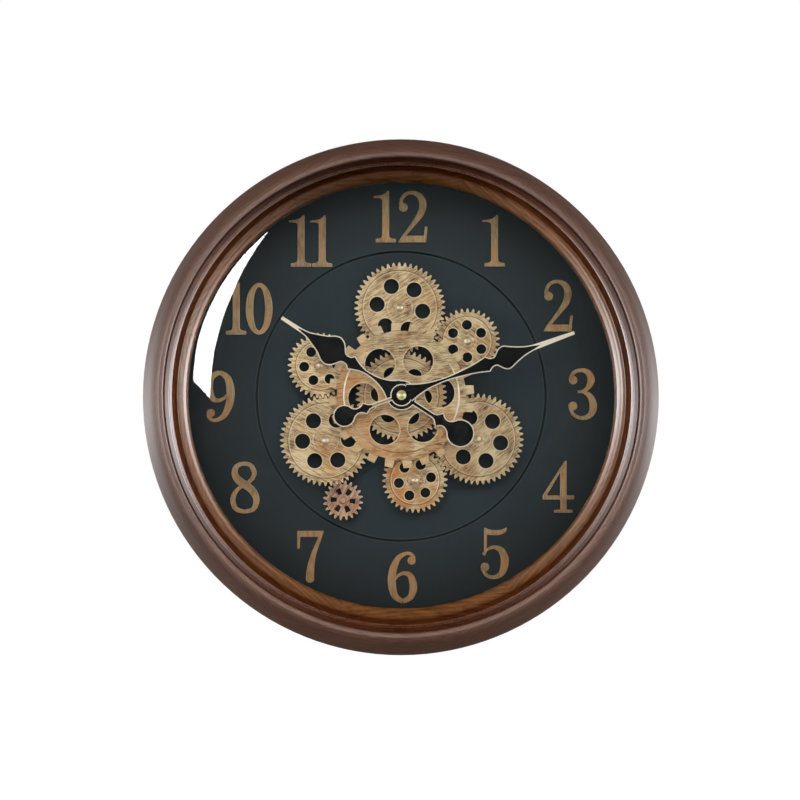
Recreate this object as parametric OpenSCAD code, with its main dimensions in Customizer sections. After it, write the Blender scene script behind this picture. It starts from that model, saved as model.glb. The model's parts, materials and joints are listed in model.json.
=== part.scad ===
// Round wooden wall clock with a train of meshing gears in front of its dial.
// Drawn flat: x to the right, y up, z out of the wall, then stood upright by on_wall().

/* [Case] */
// Outside diameter of the wooden ring
outer_d = 533; // [480:1:600]
// Height of the front crest above the step round the inner ring
crest_rise = 2.9; // [2:0.1:6]
// Radial width of the rounded outer band
band_w = 24; // [18:0.5:40]
// Radial width of the rounded step down to the inner ring
step_w = 2.6; // [1:0.1:4]
// Radial width of the inner wooden ring
bezel_w = 24; // [20:0.5:32]
// Radial width of the ledge that carries the inner ring
ledge_w = 10; // [7:0.5:12]
// Height of the inner ring above its ledge
bezel_h = 20.6; // [19:0.1:24]
// Width of the half round bead on the inner ring
bead_w = 3.3; // [2:0.1:5]
// Width of the rounded lip over the glass
lip_w = 9.6; // [7:0.1:12]
// Gap between wooden parts that slip together
wood_fit = 0.1; // [0.05:0.01:0.3]

/* [Glass and dial] */
// Thickness of the flat glass
glass_t = 3; // [2:0.1:4]
// How far the glass reaches under the lip
glass_seat = 7; // [4:0.5:8]
// Play round the edge of the glass
glass_fit = 0.4; // [0.2:0.05:0.8]
// Wall of the ring between dial and glass
spacer_wall = 4.2; // [3:0.1:6]
// Height of the dial face above the wall
dial_face = 34; // [32:0.5:40]
// Thickness of the dial board
dial_t = 4; // [3:0.5:6]
// Distance from the dial face to the back of the glass
glass_gap = 33.3; // [33:0.1:40]
// Distance from the opening's edge in to the groove on the dial
groove_inset = 67.8; // [60:0.1:72]
// Width of the groove on the dial
groove_w = 1.2; // [0.6:0.1:2]
// Depth of the groove on the dial
groove_deep = 0.8; // [0.4:0.1:1.2]

/* [Numerals] */
// Height of the numerals
numeral_h = 53; // [40:0.5:56]
// Thickness of the numerals
numeral_t = 1.6; // [1:0.1:3]
// Distance from the opening's edge in to the middle of the numerals
numeral_inset = 30; // [29:0.1:34]

/* [Gears] */
// Gear module
gear_m = 1.87; // [1.75:0.01:1.95]
// Teeth of the large gears
large_z = 48; // [46:1:48]
// Teeth of the small gears
small_z = 34; // [30:1:34]
// Teeth of the drive pinion
pinion_z = 20; // [18:1:22]
// Share of a gear pitch taken by the tooth
tooth_share = 0.42; // [0.36:0.01:0.46]
// Thickness of the toothed plates
gear_t = 2.6; // [2:0.1:3]
// Height of the raised face on each gear
face_t = 0.6; // [0.3:0.1:0.9]
// Width of the plain rim between raised face and tooth roots
rim_w = 4.8; // [3:0.1:7]
// Radius of the round windows in the large gears
large_hole_r = 7.8; // [5:0.1:9]
// Radius of the circle of windows in the large gears
large_hole_pcr = 23.5; // [21:0.1:26]
// Radius of the round windows in the small gears
small_hole_r = 5.1; // [3:0.1:6]
// Radius of the circle of windows in the small gears
small_hole_pcr = 16.6; // [15:0.1:18]

/* [Front gear] */
// Tip radius of the front gear
front_tip_r = 74; // [70:0.5:78]
// Depth of its square teeth
front_tooth_h = 8.3; // [6:0.1:9]
// Number of its teeth
front_z = 24; // [20:1:26]
// Width of a tooth at its tip
front_tooth_tip_w = 8.3; // [6:0.1:9]
// Width of a tooth at its root
front_tooth_root_w = 10; // [9:0.1:10.6]
// Radius of its raised face
front_face_r = 58.6; // [57:0.1:62]
// Height of its raised face
front_face_t = 1.5; // [0.8:0.1:2]
// Thickness of its toothed plate
front_t = 3; // [2:0.1:3.5]
// Radius of its six windows
front_hole_r = 15.3; // [12:0.1:16]
// Radius of the circle of its windows
front_hole_pcr = 38.9; // [36:0.1:40]

/* [Hands] */
// Length of the minute hand from its axis
minute_len = 186.8; // [160:0.1:192]
// Length of the hour hand from its axis
hour_len = 145; // [130:0.1:150]
// Thickness of the hands
hand_t = 1; // [0.8:0.1:1.2]
// Thickness of the black inlay on the hands
inlay_t = 0.25; // [0.15:0.05:0.3]
// Width of the pale outline round the inlay
line_w = 1.1; // [0.6:0.1:1.4]
// Angle of the minute hand, anticlockwise from three o'clock
minute_angle = 19.9; // [0:0.1:360]
// Angle of the hour hand, anticlockwise from three o'clock
hour_angle = 147.1; // [0:0.1:360]

/* [Shafts and fits] */
// Running clearance between a shaft and its hole
run_fit = 0.05; // [0.02:0.01:0.09]
// Clearance of pieces that are pushed or clamped together
push_fit = 0.02; // [0.01:0.01:0.05]
// Gap between faces that turn past each other
face_gap = 0.3; // [0.2:0.05:0.4]
// Radius of the gear studs
stud_r = 2.5; // [2.2:0.1:3]
// Height of the stud collars above the dial
collar_h = 9.7; // [8:0.1:10.5]
// Radius of the threaded neck of the movement
neck_r = 4; // [3.8:0.1:4.3]
// Radius of the sleeve that the centre gears turn on
bush_r = 5.6; // [5.4:0.1:6]
// Radius of the hub that joins the two centre gears
hub_r = 8; // [7.5:0.1:9]
// Outer radius of the hour tube
tube_r = 2.6; // [2.4:0.1:2.9]
// Radius of the minute arbor
arbor_r = 1.6; // [1.4:0.1:1.8]
// Radius of the brass cap in the middle of the hands
cap_r = 4.9; // [4:0.1:5.5]

/* [Movement] */
// Play at the ends of the cell in the movement case
cell_play = 2.6; // [1:0.1:6]
// Thickness of the movement case
mov_t = 16; // [16:0.1:18]
// Wall of the plastic cases
case_wall = 1.6; // [1.2:0.1:2]
// Diameter of a battery cell
cell_d = 14.2; // [13.8:0.1:14.4]
// Length of a battery cell
cell_l = 50.2; // [49:0.1:50.5]
// Module of the setting wheels
set_m = 1; // [0.95:0.01:1.05]
// Teeth of each setting wheel
set_z = 14; // [13:1:15]
// Radius of the setting knob
knob_r = 8; // [6:0.1:9]

/* [Gear drive] */
// Width of the drive case
drive_w = 92; // [90:0.5:100]
// Height of the drive case
drive_h = 60; // [58:0.5:64]
// Thickness of the drive case
drive_t = 20; // [18:0.5:22]
// Radius of the geared motor
motor_r = 17; // [14:0.5:19]
// Radius of the drive shaft
shaft_r = 2.5; // [2:0.1:3]
// Travel of the on and off slide
switch_travel = 4; // [3:0.5:5]

/* [Hanging plate] */
// Length of the keyhole plate
plate_l = 60; // [56:1:70]
// Height of the keyhole plate
plate_h = 18; // [17:0.5:20]
// Thickness of the keyhole plate
plate_t = 1.5; // [1.2:0.1:2]
// Radius of the round end of the keyhole
keyhole_r = 4.5; // [4:0.1:5]
// Width of the narrow end of the keyhole
keyhole_slot_w = 4.4; // [4:0.1:5]

/* [Hidden] */
$fn = 96;

// Case radii
frame_r = outer_d / 2;
crest_r = frame_r - band_w;
pocket_r = crest_r - step_w;
ledge_r = pocket_r - ledge_w;
bezel_r = pocket_r - wood_fit;
open_r = bezel_r - bezel_w;
glass_r = open_r + glass_seat;
glass_pocket_r = glass_r + glass_fit;
rebate_w = 6;
rebate_r = ledge_r + rebate_w;
board_fit = 0.4;
board_r = rebate_r - board_fit;
screw_circle_r = ledge_r + rebate_w / 2;

// Case heights above the wall
glass_back = dial_face + glass_gap;
glass_front = glass_back + glass_t;
bezel_foot_drop = 10.3;
bezel_foot = glass_front - bezel_foot_drop;
bezel_top = bezel_foot + bezel_h;
band_over_bezel = 1.5;
band_top = bezel_top + band_over_bezel;
lip_edge = 1.6;
lip_rise = 6.6;
lip_end_r = open_r + lip_w;
lip_top = glass_front + lip_edge + lip_rise;
cove_w = 5.8;
bead_end_r = lip_end_r + cove_w + bead_w;
edge_bevel = 1;
case_depth = band_top + crest_rise;
frame_side = case_depth - 5;

// Heights of the gear train above the wall
gear_z = dial_face + collar_h + face_gap;
gear_top_z = gear_z + gear_t + face_t;
washer_z = gear_top_z + face_gap;
washer_t = 1;
nut_z = washer_z + washer_t;
hub_flange_z = gear_z + gear_t + face_t;
hub_flange_t = 3.8;
front_z0 = hub_flange_z + hub_flange_t;
front_top = front_z0 + front_t + front_face_t;
hub_proud = 0.4;
hub_end = front_top + hub_proud;
bush_end = hub_end + face_gap;
neck_washer_t = 0.8;
neck_nut_t = 2;
neck_nut_z = bush_end + neck_washer_t;
neck_end = neck_nut_z + neck_nut_t;
hour_z = neck_end + face_gap;
hour_top = hour_z + hand_t + inlay_t;
hand_space = 1.4;
minute_z = hour_top + hand_space;
minute_top = minute_z + hand_t + inlay_t;
cap_seat_t = 0.3;
cap_z = minute_top + cap_seat_t;
cap_h = 2.4;

// Heights of the movement and the drive
mov_w = cell_l + 2 * case_wall + cell_play;
board_back = dial_face - dial_t;
gasket_t = 1;
mov_front = board_back - gasket_t;
mov_back = mov_front - mov_t;
cover_t = 1.8;
mov_in_front = mov_front - case_wall;
mov_in_back = mov_back + cover_t;
set_wheel_z = mov_in_front - 4;
set_wheel_t = 1.6;
drive_front = board_back;
drive_back = drive_front - drive_t;
drive_in_front = drive_front - case_wall;
drive_in_back = drive_back + cover_t;

// Places of the gears on the dial
function polar(r, a) = [r * cos(a), r * sin(a)];
function mesh_step(za, zb, a) = polar(gear_m * (za + zb) / 2, a);
// Angle of a tooth of gear B that meshes with gear A, which lies at angle a from B's far side
function mesh_phase(za, zb, phase_a, a) = a + 180 - za / zb * (phase_a - a) - 180 / zb;

dir_top = 91;
dir_lower_left = 210.6;
dir_lower_right = -29.6;
dir_upper_right = -26.3;
dir_upper_left = 94;
dir_bottom = 213.1;
dir_pinion = -73.7;

at_top = mesh_step(large_z, large_z, dir_top);
at_lower_left = mesh_step(large_z, large_z, dir_lower_left);
at_lower_right = mesh_step(large_z, large_z, dir_lower_right);
at_upper_right = at_top + mesh_step(large_z, small_z, dir_upper_right);
at_upper_left = at_lower_left + mesh_step(large_z, small_z, dir_upper_left);
at_bottom = at_lower_right + mesh_step(large_z, small_z, dir_bottom);
at_pinion = at_lower_left + mesh_step(large_z, pinion_z, dir_pinion);
stud_places = [at_top, at_lower_left, at_lower_right, at_upper_right, at_upper_left, at_bottom];

phase_centre = 5.1;
phase_top = mesh_phase(large_z, large_z, phase_centre, dir_top);
phase_lower_left = mesh_phase(large_z, large_z, phase_centre, dir_lower_left);
phase_lower_right = mesh_phase(large_z, large_z, phase_centre, dir_lower_right);
phase_upper_right = mesh_phase(large_z, small_z, phase_top, dir_upper_right);
phase_upper_left = mesh_phase(large_z, small_z, phase_lower_left, dir_upper_left);
phase_bottom = mesh_phase(large_z, small_z, phase_lower_right, dir_bottom);
phase_pinion = mesh_phase(large_z, pinion_z, phase_lower_left, dir_pinion);

// Curves
function bez(p0, p1, p2, p3, n = 8) =
    [for (i = [0:n]) let (t = i / n, s = 1 - t)
        s * s * s * p0 + 3 * s * s * t * p1 + 3 * s * t * t * p2 + t * t * t * p3];
function arc(c, r, a0, a1, n = 8) = [for (i = [0:n]) c + polar(r, a0 + (a1 - a0) * i / n)];
function spline_at(p0, p1, p2, p3, t) =
    0.5 * (2 * p1 + (p2 - p0) * t + (2 * p0 - 5 * p1 + 4 * p2 - p3) * t * t
        + (3 * p1 - p0 - 3 * p2 + p3) * t * t * t);
// A smooth curve through every point of a list, each point of any dimension
function spline(p, n = 4) = let (last = len(p) - 1) concat(
    [for (i = [0:last - 1]) for (k = [0:n - 1])
        spline_at(p[max(i - 1, 0)], p[i], p[i + 1], p[min(i + 2, last)], k / n)], [p[last]]);
function reversed(p) = [for (i = [len(p) - 1:-1:0]) p[i]];
function unit(v) = v / max(norm(v), 0.000001);
function tangent(p, i) = unit([for (k = [0, 1]) p[min(i + 1, len(p) - 1)][k] - p[max(i - 1, 0)][k]]);
// The outline of a pen stroke along points [x, y, half width]
function stroke(p) = let (
    left = [for (i = [0:len(p) - 1]) let (t = tangent(p, i))
        [p[i][0] - t[1] * p[i][2], p[i][1] + t[0] * p[i][2]]],
    right = [for (i = [0:len(p) - 1]) let (t = tangent(p, i))
        [p[i][0] + t[1] * p[i][2], p[i][1] - t[0] * p[i][2]]])
    concat(left, reversed(right));
// Half outline [s, w] moved in towards the axis by d
function drawn_in(p, d) = [for (i = [0:len(p) - 1]) let (t = tangent(p, i))
    [p[i][0] + t[1] * d, max(p[i][1] - t[0] * d, 0.15)]];
// Full outline from a half outline
function both_sides(p) = concat(p, [for (q = reversed(p)) [q[0], -q[1]]]);

module on_wall() {
    rotate([90, 0, 0]) children();
}

module slab(z, h) {
    translate([0, 0, z]) linear_extrude(height = h) children();
}

module disc(r, z, h, at = [0, 0]) {
    translate([at[0], at[1], z]) cylinder(r = r, h = h);
}

module tube(r_out, r_in, z, h, at = [0, 0]) {
    difference() {
        disc(r_out, z, h, at);
        disc(r_in, z - 1, h + 2, at);
    }
}

// Screws have round heads with a cross cut into them
screw_head_r = 2.8;
screw_head_t = 2;
cross_l = 3.4;
cross_w = 0.8;

module cross_cut(z, h) {
    slab(z, h) square([cross_l, cross_w], center = true);
    slab(z, h) square([cross_w, cross_l], center = true);
}

// A screw driven in the +z direction, with the back of its head at z
module screw(r, z, length, head_r = screw_head_r, head_t = screw_head_t) {
    difference() {
        union() {
            disc(r, z, length);
            disc(head_r, z, head_t);
        }
        cross_cut(z - 1, 1 + head_t / 2);
    }
}

// Case

outer_profile = concat(
    [[rebate_r, 0], [rebate_r, dial_face], [ledge_r, dial_face], [ledge_r, bezel_foot],
     [pocket_r, bezel_foot], [pocket_r, band_top]],
    bez([pocket_r + 0.2, band_top + 0.4], [pocket_r + 0.6, case_depth - 0.8],
        [pocket_r + 1.2, case_depth - 0.1], [crest_r, case_depth], 5),
    bez([crest_r + 2.5, case_depth], [frame_r - 8.5, frame_side],
        [frame_r - 2, case_depth / 2], [frame_r, 5], 20),
    [[frame_r, edge_bevel], [frame_r - edge_bevel, 0]]);

module outer_frame() color([0.2, 0.12, 0.08]) on_wall() difference() {
    rotate_extrude($fn = 180) polygon(outer_profile);
    bezel_screw_shanks(push_fit);
    dial_screw_shanks(push_fit);
    translate([0, plate_y, -1]) linear_extrude(height = 1 + plate_t) plate_outline(wood_fit);
    keyhole_room();
    hanger_screw_bodies(push_fit);
}

bezel_profile = concat(
    [[glass_pocket_r, bezel_foot], [glass_pocket_r, glass_front], [open_r, glass_front]],
    bez([open_r, glass_front + lip_edge], [open_r + 0.6, glass_front + lip_edge + 4.6],
        [lip_end_r - 4.4, lip_top - 0.2], [lip_end_r, lip_top], 8),
    bez([lip_end_r + 0.6, lip_top], [lip_end_r + 3.6, lip_top + 0.2],
        [lip_end_r + 5.4, lip_top + 1.4], [bead_end_r - bead_w, bezel_top], 6),
    arc([bead_end_r - bead_w / 2, bezel_top], bead_w / 2, 170, 10, 8),
    [[bead_end_r, bezel_top - 1.4], [bezel_r, bezel_top - 1.8], [bezel_r, bezel_foot]]);

module bezel_ring() color([0.25, 0.14, 0.09]) on_wall() difference() {
    rotate_extrude($fn = 180) polygon(bezel_profile);
    bezel_screw_shanks(push_fit);
}

module glass_lens() color([0.8, 0.9, 0.95, 0.3]) on_wall() disc(glass_r, glass_back, glass_t);

spacer_out_r = glass_r - 0.1;
module spacer_ring() color([0.05, 0.05, 0.05]) on_wall()
    tube(spacer_out_r, spacer_out_r - spacer_wall, dial_face, glass_gap);

dial_screw_r = 1.75;
dial_screw_l = 18;
dial_screw_count = 8;
bezel_screw_r = 2;
bezel_screw_count = 6;
bezel_screw_turn = 20;
bezel_screw_sunk = 0.2;
bezel_screw_z = dial_face + bezel_screw_sunk;
bezel_screw_head_t = 3;
bezel_screw_bite = 9;
bezel_screw_top = bezel_foot + bezel_screw_bite;

module round_the_ring(count, turn) {
    for (i = [0:count - 1]) rotate(turn + i * 360 / count) translate([screw_circle_r, 0]) children();
}

module dial_screw_shanks(fit) {
    round_the_ring(dial_screw_count, 0) disc(dial_screw_r + fit, board_back - 1, dial_screw_l + 1 + fit);
}

module bezel_screw_shanks(fit) {
    round_the_ring(bezel_screw_count, bezel_screw_turn) {
        disc(bezel_screw_r + fit, dial_face - 1, bezel_screw_top - dial_face + 1 + fit);
        disc(screw_head_r + fit, dial_face - 1, 1 + bezel_screw_sunk + bezel_screw_head_t + fit);
    }
}

module dial_screws() color([0.55, 0.55, 0.57]) on_wall() round_the_ring(dial_screw_count, 0)
    screw(dial_screw_r, board_back - screw_head_t, dial_screw_l + screw_head_t);

module bezel_screws() color([0.55, 0.55, 0.57]) on_wall() round_the_ring(bezel_screw_count, bezel_screw_turn)
    screw(bezel_screw_r, bezel_screw_z, bezel_screw_top - bezel_screw_z, screw_head_r, bezel_screw_head_t);

groove_r = open_r - groove_inset;
board_screw_r = 1.5;
board_screw_hole = board_screw_r + 0.1;

module dial_board() color([0.17, 0.2, 0.21]) on_wall() difference() {
    disc(board_r, board_back, dial_t);
    tube(groove_r + groove_w / 2, groove_r - groove_w / 2, dial_face - groove_deep, groove_deep + 1);
    disc(neck_r + run_fit, board_back - 1, dial_t + 2);
    disc(shaft_r + 1, board_back - 1, dial_t + 2, at_pinion);
    dial_screw_shanks(0.1);
    for (p = stud_places) disc(board_screw_hole, board_back - 1, dial_t + 2, p);
    for (p = drive_screw_places) disc(board_screw_hole, board_back - 1, 3, p);
}

// Keyhole plate let into the back of the ring at the top

plate_y = (rebate_r + frame_r) / 2;
keyhole_y = -3;
slot_rise = 7;
hanger_screw_inset = 8;
hanger_screw_x = plate_l / 2 - hanger_screw_inset;
hanger_screw_r = 1.75;
hanger_screw_l = 14;
hanger_head_r = 3.2;
hanger_head_t = plate_t * 0.6;
head_room = 9;
head_room_side = 1.5;

module plate_outline(grow) {
    square([plate_l + 2 * grow, plate_h + 2 * grow], center = true);
}

// Room in the wood behind the plate for the head of the wall screw
module keyhole_room() {
    room_r = keyhole_r + head_room_side;
    translate([0, plate_y + keyhole_y, 0]) {
        disc(room_r, 0, head_room);
        translate([-room_r, 0, 0]) cube([2 * room_r, slot_rise, head_room]);
    }
}

module hanger_screw_bodies(fit) {
    for (side = [-1, 1]) {
        disc(hanger_screw_r + fit, 0, hanger_screw_l + fit, [side * hanger_screw_x, plate_y]);
    }
}

module hanger_plate() color([0.75, 0.75, 0.77]) on_wall() difference() {
    translate([0, plate_y, 0]) linear_extrude(height = plate_t) plate_outline(0);
    translate([0, plate_y + keyhole_y, 0]) {
        disc(keyhole_r, -1, plate_t + 2);
        translate([-keyhole_slot_w / 2, 0, -1]) cube([keyhole_slot_w, slot_rise, plate_t + 2]);
        disc(keyhole_slot_w / 2, -1, plate_t + 2, [0, slot_rise]);
    }
    for (side = [-1, 1]) {
        disc(hanger_screw_r + push_fit, -1, plate_t + 2, [side * hanger_screw_x, plate_y]);
        disc(hanger_head_r + push_fit, -1, 1 + hanger_head_t, [side * hanger_screw_x, plate_y]);
    }
}

module hanger_screws() color([0.6, 0.6, 0.62]) on_wall() for (side = [-1, 1])
    translate([side * hanger_screw_x, plate_y, 0])
        screw(hanger_screw_r, 0, hanger_screw_l, hanger_head_r, hanger_head_t);

// Numerals, drawn one unit high about the middle of their foot

module ink() {
    linear_extrude(height = numeral_t / numeral_h) children();
}

// The round end of a pen stroke
module spot(r) {
    cylinder(r = r, h = numeral_t / numeral_h, $fn = 48);
}

module digit_one() {
    ink() polygon(concat(
        [[0.067, 1], [0.03, 1]], bez([0.01, 0.97], [-0.04, 0.92], [-0.1, 0.905], [-0.235, 0.9], 5),
        [[-0.235, 0.865], [-0.15, 0.865]], bez([-0.12, 0.86], [-0.09, 0.855], [-0.067, 0.84], [-0.067, 0.8], 4),
        bez([-0.067, 0.15], [-0.067, 0.09], [-0.09, 0.075], [-0.195, 0.067], 4),
        [[-0.195, 0], [0.195, 0]], bez([0.195, 0.067], [0.09, 0.075], [0.067, 0.09], [0.067, 0.15], 4)));
}

module oval_ring(rx, ry, side, cap) {
    ink() difference() {
        polygon([for (a = [0:9:351]) [rx * cos(a), ry * sin(a)]]);
        polygon([for (a = [0:9:351]) [(rx - side) * cos(a), (ry - cap) * sin(a)]]);
    }
}

module digit_zero() {
    translate([0, 0.5]) oval_ring(0.26, 0.5, 0.145, 0.076);
}

module digit_two() {
    ink() polygon(stroke(spline([[-0.235, 0.73, 0.03], [-0.21, 0.85, 0.032], [-0.13, 0.94, 0.033],
        [0, 0.966, 0.034], [0.13, 0.9, 0.055], [0.195, 0.75, 0.07], [0.15, 0.56, 0.062],
        [0.02, 0.37, 0.042], [-0.13, 0.18, 0.03], [-0.2, 0.09, 0.03]])));
    translate([-0.182, 0.68]) spot(0.083);
    ink() polygon([[-0.285, 0], [0.255, 0], [0.285, 0.306], [0.235, 0.306], [0.215, 0.131],
        [-0.14, 0.131], [-0.17, 0.11], [-0.235, 0.09]]);
}

module digit_three() {
    ink() polygon(stroke(spline([[-0.232, 0.8, 0.03], [-0.165, 0.92, 0.034], [-0.02, 0.964, 0.036],
        [0.11, 0.915, 0.055], [0.168, 0.776, 0.068], [0.11, 0.632, 0.045], [0, 0.555, 0.028],
        [-0.09, 0.545, 0.026]])));
    ink() polygon(stroke(spline([[-0.09, 0.545, 0.026], [0.03, 0.54, 0.032], [0.155, 0.448, 0.055],
        [0.208, 0.27, 0.072], [0.155, 0.104, 0.056], [0, 0.037, 0.037], [-0.165, 0.095, 0.034],
        [-0.24, 0.24, 0.032]])));
    translate([-0.18, 0.77]) spot(0.081);
    translate([-0.188, 0.27]) spot(0.084);
}

module digit_four() {
    ink() difference() {
        polygon([[0.158, 1], [0.125, 1], [-0.3, 0.34], [-0.3, 0.255], [0.034, 0.255], [0.034, 0.06],
            [-0.08, 0.05], [-0.08, 0], [0.27, 0], [0.27, 0.05], [0.158, 0.06], [0.158, 0.255],
            [0.3, 0.255], [0.3, 0.335], [0.158, 0.335]]);
        polygon([[0.034, 0.78], [-0.225, 0.335], [0.034, 0.335]]);
    }
}

module digit_five() {
    ink() polygon(concat([[-0.2, 1]], bez([-0.12, 0.965], [0, 0.935], [0.12, 0.93], [0.235, 1], 6),
        bez([0.235, 0.95], [0.19, 0.86], [0.1, 0.83], [-0.145, 0.86], 6),
        [[-0.155, 0.54], [-0.17, 0.465], [-0.205, 0.455], [-0.24, 0.5], [-0.205, 0.53]]));
    ink() polygon(stroke(spline([[-0.17, 0.545, 0.02], [-0.09, 0.6, 0.028], [0.01, 0.615, 0.036],
        [0.13, 0.555, 0.06], [0.2, 0.365, 0.077], [0.145, 0.13, 0.06], [0, 0.04, 0.037],
        [-0.15, 0.075, 0.034], [-0.238, 0.2, 0.032]])));
    translate([-0.185, 0.235]) spot(0.083);
}

module digit_six() {
    ink() polygon(stroke(spline([[0.232, 0.87, 0.028], [0.17, 0.95, 0.031], [0.06, 0.966, 0.034],
        [-0.09, 0.87, 0.052], [-0.19, 0.64, 0.073], [-0.208, 0.387, 0.078], [-0.15, 0.15, 0.063],
        [0, 0.042, 0.042]])));
    ink() polygon(stroke(spline([[0, 0.042, 0.042], [0.15, 0.13, 0.057], [0.207, 0.33, 0.073], [0.15, 0.53, 0.057],
        [0.035, 0.588, 0.036], [-0.08, 0.545, 0.028], [-0.17, 0.44, 0.02]])));
    translate([0.172, 0.83]) spot(0.078);
}

module digit_seven() {
    ink() polygon([[-0.25, 1], [0.26, 1], [0.235, 0.93], [0.17, 0.885], [-0.195, 0.885], [-0.205, 0.66],
        [-0.255, 0.655]]);
    ink() polygon(stroke(spline([[0.225, 0.965, 0.025], [0.15, 0.78, 0.036], [0.07, 0.57, 0.046],
        [0.02, 0.37, 0.062], [-0.003, 0.2, 0.076], [-0.006, 0.09, 0.079]])));
    translate([-0.006, 0.08]) spot(0.08);
}

module digit_eight() {
    ink() polygon(stroke(spline([[0.12, 0.932, 0.042], [-0.01, 0.966, 0.034], [-0.15, 0.92, 0.045],
        [-0.198, 0.79, 0.058], [-0.14, 0.66, 0.07], [0, 0.56, 0.073], [0.15, 0.44, 0.07],
        [0.224, 0.27, 0.06], [0.165, 0.09, 0.045], [0, 0.036, 0.036]])));
    ink() polygon(stroke(spline([[0, 0.036, 0.036], [-0.17, 0.09, 0.045], [-0.232, 0.26, 0.05],
        [-0.165, 0.44, 0.038], [0, 0.565, 0.03], [0.13, 0.66, 0.036], [0.182, 0.79, 0.045],
        [0.12, 0.932, 0.042]])));
}

module digit_nine() {
    translate([0, 1]) rotate(180) digit_six();
}

numeral_r = open_r - numeral_inset;

// A numeral at its hour, moved by a small nudge that evens out the spacing by eye
module numeral(hour, nudge = [0, 0]) color([0.72, 0.58, 0.42]) on_wall()
    translate([0, 0, dial_face])
        translate(polar(numeral_r, 90 - 30 * hour) + nudge - [0, numeral_h / 2]) scale(numeral_h) children();

module numeral_1() numeral(1, [3, -1.5]) digit_one();
module numeral_2() numeral(2) digit_two();
module numeral_3() numeral(3, [0, 2]) digit_three();
module numeral_4() numeral(4) digit_four();
module numeral_5() numeral(5, [2.5, 0]) digit_five();
module numeral_6() numeral(6, [1.5, 0]) digit_six();
module numeral_7() numeral(7, [0, -3.5]) digit_seven();
module numeral_8() numeral(8, [1, -1]) digit_eight();
module numeral_9() numeral(9) digit_nine();
module numeral_10() numeral(10, [6, -3.5]) {
    translate([-0.268, 0]) digit_one();
    translate([0.175, 0]) digit_zero();
}
module numeral_11() numeral(11, [1, -2]) {
    translate([-0.205, 0]) digit_one();
    translate([0.205, 0]) digit_one();
}
module numeral_12() numeral(12, [0.5, -1.7]) {
    translate([-0.31, 0]) digit_one();
    translate([0.215, 0]) digit_two();
}

// Gears

pressure = 20;
addendum = 0.9;
dedendum = 1.22;

function pitch_r(z, m = gear_m) = m * z / 2;
function tip_r(z, m = gear_m) = pitch_r(z, m) + addendum * m;
function root_r(z, m = gear_m) = pitch_r(z, m) - dedendum * m;
function involute(a) = tan(a) * 180 / PI - a;
// Half the angle that a tooth takes at radius r
function tooth_half(r, z, m) = let (base = pitch_r(z, m) * cos(pressure))
    180 * tooth_share / z + involute(pressure) - involute(acos(min(1, base / r)));

module gear_outline(z, phase, m = gear_m) {
    mid_r = pitch_r(z, m) - 0.3 * m;
    shoulder_r = tip_r(z, m) - 0.25 * m;
    polygon([for (i = [0:z - 1]) let (a = phase + 360 * i / z)
        for (k = [
            [root_r(z, m), -tooth_half(root_r(z, m), z, m)], [mid_r, -tooth_half(mid_r, z, m)],
            [shoulder_r, -tooth_half(shoulder_r, z, m)], [tip_r(z, m), -0.55 * tooth_half(tip_r(z, m), z, m)],
            [tip_r(z, m), 0.55 * tooth_half(tip_r(z, m), z, m)], [shoulder_r, tooth_half(shoulder_r, z, m)],
            [mid_r, tooth_half(mid_r, z, m)], [root_r(z, m), tooth_half(root_r(z, m), z, m)]])
            polar(k[0], a + k[1])]);
}

// A gear with a raised face and six round windows
module windowed_gear(z, at, phase, bore, hole_r, hole_pcr, hole_turn) {
    translate([at[0], at[1], 0]) difference() {
        union() {
            slab(gear_z, gear_t) gear_outline(z, phase);
            disc(root_r(z) - rim_w, gear_z + gear_t, face_t);
        }
        disc(bore, gear_z - 1, gear_t + face_t + 2);
        for (i = [0:5]) disc(hole_r, gear_z - 1, gear_t + face_t + 2, polar(hole_pcr, hole_turn + 60 * i));
    }
}

module large_gear(at, phase, hole_turn, bore = stud_r + run_fit) color([0.78, 0.62, 0.42]) on_wall()
    windowed_gear(large_z, at, phase, bore, large_hole_r, large_hole_pcr, hole_turn);

module small_gear(at, phase, hole_turn) color([0.78, 0.62, 0.42]) on_wall()
    windowed_gear(small_z, at, phase, stud_r + run_fit, small_hole_r, small_hole_pcr, hole_turn);

// Angle of the first window of each gear
turn_top = 51.5;
turn_lower_left = 2;
turn_lower_right = 50.5;
turn_upper_right = 30.5;
turn_upper_left = 4.5;
turn_bottom = 10;
turn_centre = 56;

module gear_top() large_gear(at_top, phase_top, turn_top);
module gear_lower_left() large_gear(at_lower_left, phase_lower_left, turn_lower_left);
module gear_lower_right() large_gear(at_lower_right, phase_lower_right, turn_lower_right);
module gear_upper_right() small_gear(at_upper_right, phase_upper_right, turn_upper_right);
module gear_upper_left() small_gear(at_upper_left, phase_upper_left, turn_upper_left);
module gear_bottom() small_gear(at_bottom, phase_bottom, turn_bottom);
module centre_gear() large_gear([0, 0], phase_centre, turn_centre, hub_r + push_fit);

window_count = 6;
window_turn = 57;
window_rim_w = 3.6;
window_in = 6.4;
window_in_w = 3.8;
window_out_w = 5.8;

// The small driving gear, with six windows round its hub
module drive_pinion() color([0.72, 0.5, 0.4]) on_wall() translate([at_pinion[0], at_pinion[1], 0]) {
    window_out = root_r(pinion_z) - window_rim_w;
    difference() {
        slab(gear_z, gear_t + face_t) gear_outline(pinion_z, phase_pinion);
        disc(shaft_r + push_fit, gear_z - 1, gear_t + face_t + 2);
        for (i = [0:window_count - 1]) rotate(phase_pinion + window_turn + i * 360 / window_count)
            slab(gear_z - 1, gear_t + face_t + 2) polygon([
                [window_in, -window_in_w / 2], [window_out, -window_out_w / 2],
                [window_out, window_out_w / 2], [window_in, window_in_w / 2]]);
    }
}

front_root_r = front_tip_r - front_tooth_h;
front_phase = 4.8;
front_hole_turn = 4;
face_bevel = 0.8;

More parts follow.
